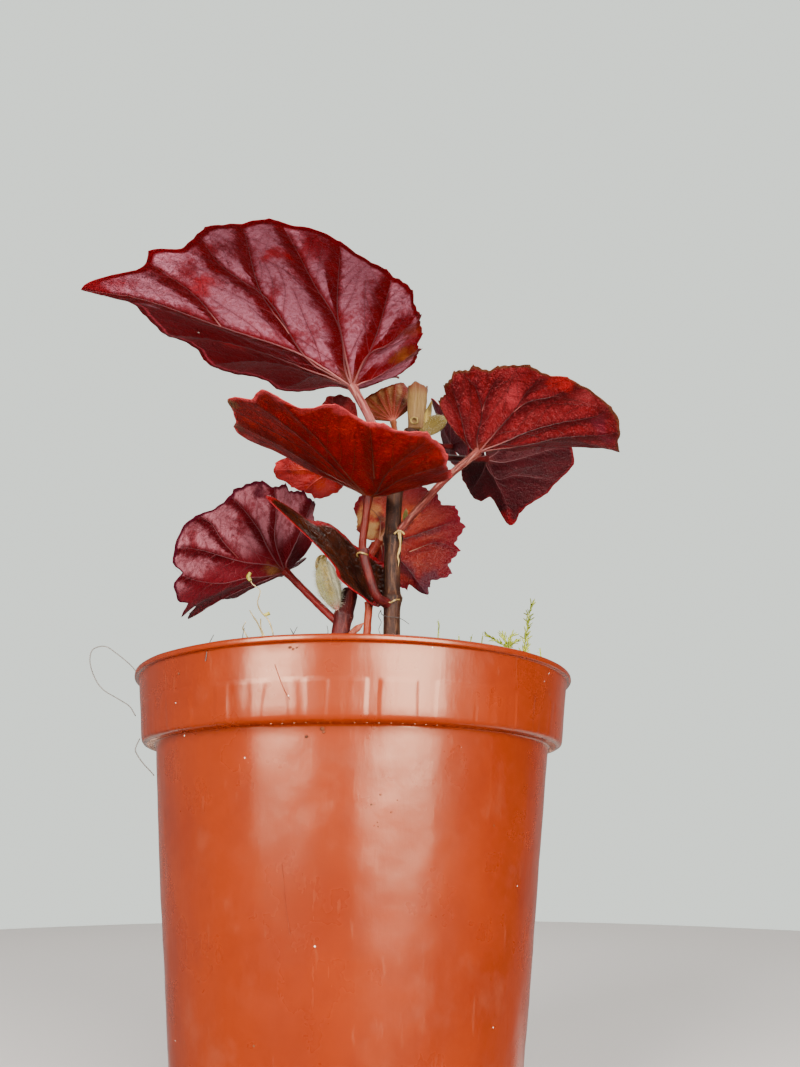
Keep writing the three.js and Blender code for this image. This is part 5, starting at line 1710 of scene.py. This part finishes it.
SHEATH = dict(
    foot=(13.5, -0.4, 141.9), length=12.2, foot_width=4.2, mouth_width=5.1, flatness=0.62, wall=0.35,
    mouth_depth=7, lean=(2, 2),
)
SCALES = {
    "stipule_right": dict(foot=(14.2, -0.4, 140), tip=(20.9, -0.8, 145.4), width=5.4, thickness=1.3,
                          facing=(0, -1, 0.3), bow=0.8, bluntness=0.35, slot="green_scale"),
    "bud_shoot": dict(foot=(-4.3, 2.7, 97), tip=(-8.4, 1.6, 109.4), width=5.4, thickness=2.2,
                      facing=(-0.3, -1, 0), bow=0.9, bluntness=0.3, slot="green_scale"),
    "stipule_green": dict(foot=(10.5, 0.3, 117.2), tip=(11, 0.4, 121.4), width=1.3, thickness=0.8,
                          facing=(0.4, -1, 0), bow=0.1, bluntness=0.2, slot="green_scale"),
}


def scale_finish(name, foot, middle, tip, streak, glow=0.3):
    """A scale's colours from foot to tip, streaked lengthwise, read from its own way attribute."""
    f = Finish(name, 0.5, Specular_IOR_Level=0.4, Sheen_Weight=0.2, Sheen_Roughness=0.4)
    way = f.reading("way")
    low = f.blend(f.step(way, 0.02, 0.3), foot, middle)
    tone = f.blend(f.step(way, 0.72, 0.97), low, tip)
    stretched = f.shade("CombineXYZ", {"X": f.reading("across"), "Y": f.times(way, 0.25)})
    lines = f.shade("TexNoise", {"Vector": stretched, "Scale": 9.0, "Detail": 3.0})
    tone = f.paint(tone, streak, f.step(lines, 0.45, 0.65), 0.6)
    f.set("Base Color", tone)
    f.bump(lines, depth=0.0002)
    f.bump(f.noise(f.place(), size=0.0004), depth=0.00008)
    f.glow(tone, glow)
    return f.material


def bud_finish():
    """Whitish and downy, with a golden streak up the middle, olive specks and a pink foot."""
    f = Finish("bud_skin", 0.5, Specular_IOR_Level=0.4, Sheen_Weight=0.15, Sheen_Roughness=0.4)
    way, across, place = f.reading("way"), f.reading("across"), f.place()
    tone = f.blend(f.step(across, -0.7, 0.5), (206, 204, 172), (150, 146, 84))
    gold = f.times(f.step(across, -0.6, -0.2), f.step(across, 0.4, 0.0))
    gold = f.times(gold, f.step(way, 0.12, 0.35))
    tone = f.paint(tone, (178, 152, 56), gold, 0.75)
    tone = f.paint(tone, (120, 112, 44), f.specks(place, 1700.0, amount=0.5, spread=0.35), 0.7)
    tone = f.paint(tone, (190, 110, 104), f.step(way, 0.22, 0.0))
    tone = f.paint(tone, (120, 104, 44), f.step(way, 0.82, 0.97))
    f.set("Base Color", tone)
    f.bump(f.noise(place, size=0.0005), depth=0.0001)
    f.glow(tone, share=0.3)
    return f.material


def way_piece(name, points, faces, ways, acrosses, material):
    """A mesh with each point's way along the piece and its place across it."""
    obj = new_mesh(name, points, faces, material)
    mark(obj, "way", ways)
    mark(obj, "across", acrosses)
    return outward(obj)


SCALE_ROWS = 48
SCALE_SIDES = 40
SCALE_RIDGES = 16
CURL_STARTS = 0.75


def make_scale(name, material, curl=0.0, ridges=0.0):
    """A flattened ball drawn out to the scale's length, with lengthwise ridges and a curled tip."""
    scale = SCALES[name]
    foot, tip = Vector(scale["foot"]), Vector(scale["tip"])
    length = (tip - foot).length
    along = (tip - foot).normalized()
    across = Vector(scale["facing"]).cross(along).normalized()
    out = along.cross(across)
    points, ways, acrosses = [], [], []
    for row in range(SCALE_ROWS + 1):
        polar = math.pi * row / SCALE_ROWS
        z, ring = -math.cos(polar), max(math.sin(polar), 1e-4)
        share = (1 + z) / 2
        narrow = ring ** (1 - scale["bluntness"])
        bend = scale["bow"] * 4 * share * (1 - share)
        bend += curl * max(share - CURL_STARTS, 0) ** 2 * 16
        for k in range(SCALE_SIDES):
            angle = 2 * math.pi * k / SCALE_SIDES
            x, y = ring * math.cos(angle), ring * math.sin(angle)
            ridge = 1 + ridges * math.cos(x * SCALE_RIDGES) * (1 - share ** 4)
            lift = y * scale["thickness"] * narrow * ridge / 2 + bend
            aside = across * (x * scale["width"] * narrow / 2)
            points.append((foot + along * (share * length) + aside + out * lift) * MM)
            ways.append(share)
            acrosses.append(x * narrow)
    faces = ring_faces(SCALE_ROWS, SCALE_SIDES)
    obj = way_piece(name + "_scale", points, faces, ways, acrosses, material)
    return finish_piece(obj, scale["slot"], name)


SHEATH_SIDES = 72
SHEATH_ROWS = 40
# Each groove of the sheath: its depth in mm, and its middle and half width in degrees
SHEATH_GROOVES = [(0.32, 262, 9), (0.26, 298, 8)]


def leaned(aside, height, tilt):
    """A sideways place and a height, turned over by a tilt."""
    cosine, sine = math.cos(tilt), math.sin(tilt)
    return aside * cosine + height * sine, height * cosine - aside * sine


def make_sheath(material):
    """The dry sheath round the tip: a flattened tube with two grooves and a torn, thin mouth."""
    s = SHEATH
    sides, rows = SHEATH_SIDES, SHEATH_ROWS
    tilt_x, tilt_y = (math.radians(value) for value in s["lean"])
    points, ways, acrosses = [], [], []
    for shell in (0, 1):
        for row in range(rows + 1):
            way = row / rows
            for k in range(sides):
                angle = 2 * math.pi * k / sides
                torn = (0.5 * math.sin(3 * angle + 0.6) + 0.25 * math.sin(7 * angle + 2)) * way ** 6
                full, share = s["length"] * way, way
                if shell:
                    full = s["length"] - s["mouth_depth"] * (1 - way)
                    share = (full + torn) / s["length"]
                z = full + torn
                radius = (s["foot_width"] + (s["mouth_width"] - s["foot_width"]) * share) / 2
                radius -= shell * s["wall"]
                for groove, middle, width in SHEATH_GROOVES:
                    radius -= groove * math.exp(-((math.degrees(angle) - middle) / width) ** 2)
                radius += 0.12 * lattice_noise(np.array([angle * 3]), np.array([z]), 1.6, 51)[0]
                x, y = radius * math.cos(angle), radius * math.sin(angle) * s["flatness"]
                x, z = leaned(x, z, tilt_x)
                y, z = leaned(y, z, tilt_y)
                points.append(tuple((np.array(s["foot"]) + (x, y, z)) * MM))
                ways.append(way)
                acrosses.append(math.cos(angle))
    inside = (rows + 1) * sides
    faces = ring_faces(rows, sides) + ring_faces(rows, sides, inside)
    outer, inner = rows * sides, inside + rows * sides
    for k in range(sides):
        j = (k + 1) % sides
        faces.append((outer + k, outer + j, inner + j, inner + k))
    faces.append(tuple(range(sides)))
    faces.append(tuple(inside + k for k in reversed(range(sides))))
    obj = way_piece("stipule_sheath_tube", points, faces, ways, acrosses, material)
    return finish_piece(obj, "dry_scale", "stipule_sheath")


sheath_look = scale_finish("sheath_skin", (99, 67, 30), (124, 97, 51), (99, 50, 21),
                           (99, 63, 27), 0.2)
make_sheath(sheath_look)
bud_look = bud_finish()
bud = make_scale("bud_shoot", bud_look, curl=0.9, ridges=0.25)
right_look = scale_finish("stipule_right_skin", (83, 65, 17), (115, 97, 35), (135, 120, 59),
                          (70, 54, 13), 0.3)
right_scale = make_scale("stipule_right", right_look, ridges=0.14)
green_look = scale_finish("green_scale_skin", (101, 93, 46), (119, 115, 54), (136, 127, 70),
                          (93, 67, 38), 0.25)
make_scale("stipule_green", green_look, ridges=0.1)
bud_down = hair_finish("bud_down", (240, 236, 214), 0.4)
hairs_on("bud_down", [bud.data], bud_down, "green_scale", 14.0, 1.2, 61, slimness=0.04, lean=0.6, curl=0.4)
hairs_on("stipule_right_down", [right_scale.data], bud_down, "green_scale", 4.0, 0.7, 62, slimness=0.04)


def flattened(obj, share):
    """Squashes a grown strip towards the middle of its own depth."""
    count = len(obj.data.vertices)
    places = np.empty(count * 3)
    obj.data.vertices.foreach_get("co", places)
    places = places.reshape(-1, 3)
    middle = places[:, 1].mean()
    places[:, 1] = middle + (places[:, 1] - middle) * share
    obj.data.vertices.foreach_set("co", places.ravel())
    obj.data.update()
    return obj


PAPERY_STRIP = [
    (9.2, -2.9, 114.2), (9.3, -2.9, 113.2), (9.5, -2.8, 111.6), (9.3, -2.8, 110), (8.9, -2.7, 108.6),
    (9.1, -2.7, 107.2), (9, -2.7, 106),
]
PAPERY_WIDTHS = [0.5, 0.36, 0.18, 0.28, 0.2, 0.07, 0.04]
PAPERY_RIM = [(8.1, -2.7, 113.8), (8.8, -3.1, 114.3), (9.6, -3.1, 114.3), (10.4, -2.7, 113.7)]
NODE_SCAR = [
    (5.5, -1.1, 98.9), (6.2, -1.95, 98.3), (7.3, -2.42, 97.7), (8.3, -2.36, 98.3), (9.3, -1.9, 98.6),
]
SPUR_RING = (0.95, -5.9, 107.4)
SPUR_RING_RADIUS = 1.2
SHEATH_SCAR = (12.9, -2.1, 143.4)
SHEATH_SCAR_RADIUS = 0.85
OLIVE_STIPULE = [(15.6, -1, 141.2), (16, -1.1, 144), (16.6, -1.1, 147), (17.2, -0.9, 149.6)]
OLIVE_WIDTHS = [0.9, 1.0, 0.7, 0.1]
BUD_CURL = [
    (-9, 1.5, 106.4), (-9.2, 1.3, 107.8), (-8.7, 1.2, 109), (-7.8, 1.2, 109.2), (-7.5, 1.3, 108.4),
    (-8, 1.2, 107.9),
]
BUD_CURL_GIRTH = 0.55


RING_TURNS = 16
RING_SWAY = 0.15


def tapered(line, steps, widths):
    """A path through the line's points, with girths that pass through these widths at even ways."""
    path = smooth_path(line, steps)
    way = np.linspace(0, 1, len(path))
    return path, np.interp(way, np.linspace(0, 1, len(widths)), widths)


def level_ring(centre, radius):
    """A closed ring of points round an upright stem, swaying a little."""
    angles = np.linspace(0, 2 * math.pi, RING_TURNS + 1)
    x, y, z = centre
    sway = RING_SWAY * np.sin(2 * angles)
    return np.column_stack([x + radius * np.cos(angles), y + radius * np.sin(angles), z + sway])


def facing_ring(centre, radius):
    """A closed ring of points that faces the camera's side."""
    angles = np.linspace(0, 2 * math.pi, RING_TURNS + 1)
    x, y, z = centre
    return [(x + radius * math.cos(t), y, z + radius * math.sin(t)) for t in angles]


def make_papery_bits():
    paper = stalk_finish("papery_skin", (111, 82, 36), (164, 137, 77), (192, 170, 119))
    strip = stem_piece("stipule_papery_strip", [tapered(PAPERY_STRIP, 8, PAPERY_WIDTHS)], paper,
                       "dry_scale", "stipule_papery", sides=12, lump=0.0003, lumps=900.0)
    flattened(strip, 0.35)
    rims = [(smooth_path(PAPERY_RIM, 6), 0.2), (smooth_path(NODE_SCAR, 6), 0.15)]
    rims.append((smooth_path(level_ring(SPUR_RING, SPUR_RING_RADIUS), 2), 0.2))
    stem_piece("papery_rims", rims, paper, "dry_scale", sides=8, lump=0.00025, lumps=1500.0)
    olive = stalk_finish("olive_stipule_skin", (84, 66, 28), (136, 112, 52), (176, 156, 84))
    blade = stem_piece("olive_stipule", [tapered(OLIVE_STIPULE, 8, OLIVE_WIDTHS)], olive, "green_scale",
                       sides=12, lump=0.0002)
    flattened(blade, 0.4)
    scar = (smooth_path(facing_ring(SHEATH_SCAR, SHEATH_SCAR_RADIUS), 2), 0.16)
    curl = (smooth_path(BUD_CURL, 6), BUD_CURL_GIRTH)
    stem_piece("bud_curl", [curl, scar], olive, "green_scale", sides=10, lump=0.0002)


make_papery_bits()


# Moss, sprouts, loose hairs and specks

MOSS = {
    "moss_tall": dict(lines=[
        [(30.6, -25, 75.5), (31.1, -25, 81.2), (31.8, -25, 84.1), (32.2, -25, 86), (32.9, -25, 89.6),
         (33.5, -25, 90.9)],
    ], gap=0.14, length=1.8, slim=0.14, spread=0.7, seed=71),
    "moss_low": dict(lines=[
        [(28, -25, 75.5), (28.1, -25, 82.1), (27.2, -25, 83.4), (25.6, -25, 84.3), (24.6, -25, 84.9)],
        [(28.3, -24.6, 75.5), (28.1, -24.8, 82.1), (28, -25, 83.5), (27.4, -25, 85.2)],
        [(28.6, -25, 75.5), (28.3, -25, 82.1), (28.6, -25, 83.7), (29.3, -25, 85)],
        [(29, -25, 75.5), (28.5, -25, 82.1), (29.3, -25, 83.3), (30.2, -25, 84)],
        [(31.2, -25.6, 75.5), (31.5, -25.6, 81), (32, -25.6, 83)],
    ], gap=0.14, length=1.5, slim=0.17, spread=0.75, seed=72),
    "moss_tiny": dict(lines=[
        [(15.2, -25, 75.5), (15.3, -25, 85), (15.5, -25, 86.6), (15.3, -25, 87.6)],
        [(23.3, -25, 75.5), (23.5, -25, 83.6), (23.7, -25, 84.8)],
        [(34.3, -25, 75.5), (34.5, -25, 81.4), (34.4, -25, 82.5)],
        [(19.1, -25, 75.5), (19.2, -25, 83.9), (19.2, -25, 84.7)],
        [(21.3, -25, 75.5), (21.4, -25, 83.6), (21.6, -25, 84.7)],
    ], gap=0.42, length=0.8, slim=0.12, spread=0.9, seed=73),
}
MOSS_GIRTH = 0.12
SPROUTS = [
    [(-14.8, -24, 75), (-15.3, -24, 83.8), (-16.6, -24, 87.6), (-18.1, -24, 89.2), (-18.8, -24, 90.9),
     (-18.5, -24, 93.4), (-20, -24, 94.6), (-20.7, -24, 95.9)],
    [(-16.8, -24, 75), (-17.3, -24, 83.8), (-18.7, -24, 87.2), (-19.3, -24, 88), (-20.2, -24, 89.4)],
    [(-16.4, -24.4, 75), (-17, -24, 83.8), (-17.8, -24.5, 86), (-18, -24, 87.8)],
    [(-20, -24, 75), (-20.1, -24, 83.7), (-20.8, -24, 85.1), (-21.2, -24, 86), (-20.7, -24, 87.2)],
]
SPROUT_WIDTHS = [0.17, 0.1]
SPROUT_TIPS = [
    [(-20.4, -24, 95.2), (-20.9, -24, 96), (-20.6, -24, 96.8)],
    [(-17.4, -24, 88.4), (-16.4, -24, 88.9)],
]
SPROUT_TIP_GIRTH = 0.34
LOOSE_FIBRE_GIRTH = 0.11
LOOSE_FIBRES = [
    [(-42.6, -10, 79), (-44.4, -10, 81.2), (-47.7, -10, 83.8), (-50.5, -10, 85.4), (-52.7, -10, 84.7),
     (-53, -10, 82.7), (-51.6, -10, 79.1), (-49.7, -10, 76.8), (-46.6, -10, 75), (-44.1, -10, 73.5),
     (-42.6, -10.5, 71.6)],
    [(-41.4, -10, 67.4), (-42, -10, 65.3), (-41.3, -10, 64), (-40, -10, 62.5), (-38.8, -10, 61.4),
     (-37.9, -10, 60.5)],
]
DARK_HAIR_WIDTHS = [0.11, 0.06]
DARK_HAIRS = [
    [(-25.3, -36, 77), (-25.1, -36, 79.5), (-24.7, -36, 80.7), (-24.3, -36, 81.6)],
    [(-19.2, -36, 77), (-19.3, -36, 80.5), (-19.4, -36, 81.5), (-19.2, -36, 82.9)],
    [(-11.1, -36, 77), (-11, -36, 80.9), (-10.7, -36, 82.1), (-10.2, -36, 83.2)],
    [(-10.8, -36, 81.9), (-11.4, -36, 82.9)],
    [(-5.1, -36, 77), (-5.1, -36, 81), (-4.9, -36, 82.4), (-5.1, -36, 83.5)],
    [(5.2, -2.7, 95.9), (5.4, -2.9, 94.9), (6.7, -2.9, 94.4), (8.5, -2.7, 94.3), (9.8, -2.4, 94),
     (11.4, -2.4, 92.9)],
    [(5.2, -2.7, 95.9), (4.7, -2.7, 94.6), (5.3, -2.6, 93.2), (4.8, -2.6, 91.6), (5.3, -2.6, 89.9),
     (4.9, -2.6, 88)],
]
BROWN_SCALE = [
    (-2.6, -36, 75.5), (-1.5, -36, 81), (-0.6, -36, 82.4), (0.4, -36, 83.3), (1.3, -36, 84.1),
]
BROWN_SCALE_WIDTHS = ([0, 0.7, 1], [0.5, 0.6, 0.05])
SCRATCH_GIRTH = 0.05
# Scratches and spots on the pot: an angle round it in degrees, a height and, for a spot, its size
POT_SCRATCHES = [
    [(-107.5, 75.4), (-106.6, 73.6), (-105.4, 71.4), (-104.1, 69.8)],
    [(-107.3, 45.3), (-106.7, 42), (-106.5, 40.3), (-105.2, 35.4)],
]
SOIL_SPOTS = [
    (-97.5, 65.6, 0.42), (-97.2, 65.1, 0.3), (-101.3, 64.4, 0.3), (-134.4, 75.8, 0.26), (-163.1, 37.1, 0.3),
    (-85.6, 54.1, 0.18), (-84, 51.5, 0.16), (-104.1, 78, 0.3), (-103.4, 77.7, 0.25), (-102.6, 77.9, 0.2),
    (-83.5, 55.6, 0.2), (-83.8, 50.9, 0.15), (-80.7, 53, 0.2), (-79.3, 54.8, 0.13), (-9, 57, 0.2),
]
PALE_SPOTS = [(-138.4, 66, 0.2), (-136, 71, 0.12), (-60, 60, 0.1), (-38, 76, 0.12), (-52, 48, 0.1)]


def make_sprig_tree():
    """A thin stem along each line of the base with small pointed leaves all the way up it."""
    g = GrowTree("sprigs", Leaf_gap=0.0005, Leaf_length=0.001, Slimness=0.15, Spread=0.8, Seed=1)
    curve = g.lines()
    stem = g.tube(curve, 5, g.named("girth"))
    spots = g.geo("ResampleCurve", {"Curve": curve, "Length": g.given["Leaf gap"]}, mode="LENGTH")
    aside = g.scaled(g.random_vector((-1, -1, -1), (1, 1, 1)), g.given["Spread"])
    aim = g.shade("VectorMath", {0: g.geo("InputTangent"), 1: aside}, operation="ADD")
    slim = g.given["Slimness"]
    shape = g.shade("CombineXYZ", {"X": slim, "Y": slim, "Z": 1.0})
    inputs = {"Geometry": g.ball(0.5, 2), "Translation": (0, 0, 0.5), "Scale": shape}
    size = g.times(g.random_number(0.5, 1.0), g.given["Leaf length"])
    leaves = g.scatter(spots, g.geo("Transform", inputs), g.aimed(aim), size)
    both = g.geo("JoinGeometry", {0: stem})
    g.fill(both.inputs[0], leaves)
    return g.finish(both)


def make_spot_tree():
    """A small flattened crumb at each point of the base, turned along its facing vector."""
    g = GrowTree("spots", Flatness=0.5)
    points = g.geo("MeshToPoints", {"Mesh": g.given["Geometry"]})
    shape = g.shade("CombineXYZ", {"X": 1.0, "Y": 0.8, "Z": g.given["Flatness"]})
    crumb = g.geo("Transform", {"Geometry": g.ball(1.0, 2), "Scale": shape})
    turn = g.aimed(g.named("facing", "FLOAT_VECTOR"))
    return g.finish(g.scatter(points, crumb, turn, g.named("girth")))


def pot_surface(angle, z, off=0.0):
    """The point of the pot's outside at an angle round it in degrees and a height, in mm."""
    foot = POT_HEIGHT - BAND_HEIGHT
    band_top = LIP_RADIUS - LIP_OVERHANG
    radius = np.interp(z, [0, foot, foot + 0.01, POT_HEIGHT - LIP_HEIGHT],
                       [BASE_RADIUS, BODY_TOP_RADIUS, BAND_FOOT_RADIUS, band_top]) + off
    turn = math.radians(angle)
    return (radius * math.cos(turn), radius * math.sin(turn), z)


def make_spots(name, spots, material, tree):
    mesh = bpy.data.meshes.new(name)
    mesh.from_pydata([tuple(np.array(pot_surface(angle, z)) * MM) for angle, z, _ in spots], [], [])
    girths = [girth * MM for _, _, girth in spots]
    ways = [(math.cos(math.radians(angle)), math.sin(math.radians(angle)), 0) for angle, _, _ in spots]
    mesh.attributes.new("girth", "FLOAT", "POINT").data.foreach_set("value", girths)
    mesh.attributes.new("facing", "FLOAT_VECTOR", "POINT").data.foreach_set("vector", np.ravel(ways))
    finish_piece(grow(name, mesh, tree, flatness=0.4, material=material), "pot_plastic")


def make_small_things():
    sprig_tree, spot_tree = make_sprig_tree(), make_spot_tree()
    moss = stalk_finish("moss_green", (92, 104, 20), (146, 158, 44), (176, 184, 84))
    for name, sprig in MOSS.items():
        base = path_mesh(name, [(smooth_path(line, 6), MOSS_GIRTH) for line in sprig["lines"]])
        obj = grow(name, base, sprig_tree, leaf_gap=sprig["gap"] * MM, leaf_length=sprig["length"] * MM,
                   slimness=sprig["slim"], spread=sprig["spread"], seed=sprig["seed"], material=moss)
        finish_piece(obj, "potting_soil")
    straw = stalk_finish("dry_sprout", (120, 104, 62), (170, 152, 104), (206, 190, 146))
    paths = [tapered(line, 6, SPROUT_WIDTHS) for line in SPROUTS]
    stem_piece("dry_sprouts", paths, straw, "potting_soil", sides=6, lump=0.0002, lumps=900.0)
    tips = stalk_finish("sprout_tip", (110, 104, 34), (156, 148, 60), (190, 180, 100))
    paths = [(smooth_path(line, 6), SPROUT_TIP_GIRTH) for line in SPROUT_TIPS]
    stem_piece("sprout_tips", paths, tips, "potting_soil", sides=8, lump=0.0002, lumps=900.0)
    grey = hair_finish("loose_fibre", (110, 104, 98), 0.1)
    paths = [(smooth_path(line, 8), LOOSE_FIBRE_GIRTH) for line in LOOSE_FIBRES]
    stem_piece("loose_fibres", paths, grey, "potting_soil", sides=6)
    black = hair_finish("dark_hair", (46, 38, 34), 0.1)
    paths = [tapered(line, 6, DARK_HAIR_WIDTHS) for line in DARK_HAIRS]
    stem_piece("dark_hairs", paths, black, "potting_soil", sides=6)
    lines = [[pot_surface(angle, z, 0.02) for angle, z in line] for line in POT_SCRATCHES]
    paths = [(smooth_path(line, 8), SCRATCH_GIRTH) for line in lines]
    scratched = grain_finish("scratch", (96, 30, 12), (130, 50, 24))
    stem_piece("pot_scratches", paths, scratched, "pot_plastic", sides=5)
    stuck = grain_finish("stuck_soil", (60, 34, 20), (120, 60, 34))
    make_spots("soil_spots", SOIL_SPOTS, stuck, spot_tree)
    grit = grain_finish("pale_grit", (226, 216, 200), (240, 232, 220))
    make_spots("pale_spots", PALE_SPOTS, grit, spot_tree)
    brown = stalk_finish("brown_scale", (96, 40, 26), (140, 66, 44), (170, 96, 70))
    path = smooth_path(BROWN_SCALE, 6)
    widths = np.interp(np.linspace(0, 1, len(path)), *BROWN_SCALE_WIDTHS)
    flattened(stem_piece("brown_scale", [(path, widths)], brown, "potting_soil", sides=8), 0.5)


make_small_things()
make_camera()
make_lights()
make_stage()

low_high = {"cad": cad_box, "visual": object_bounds()}
{key: [[float(v) for v in corner] for corner in box] for key, box in low_high.items()}
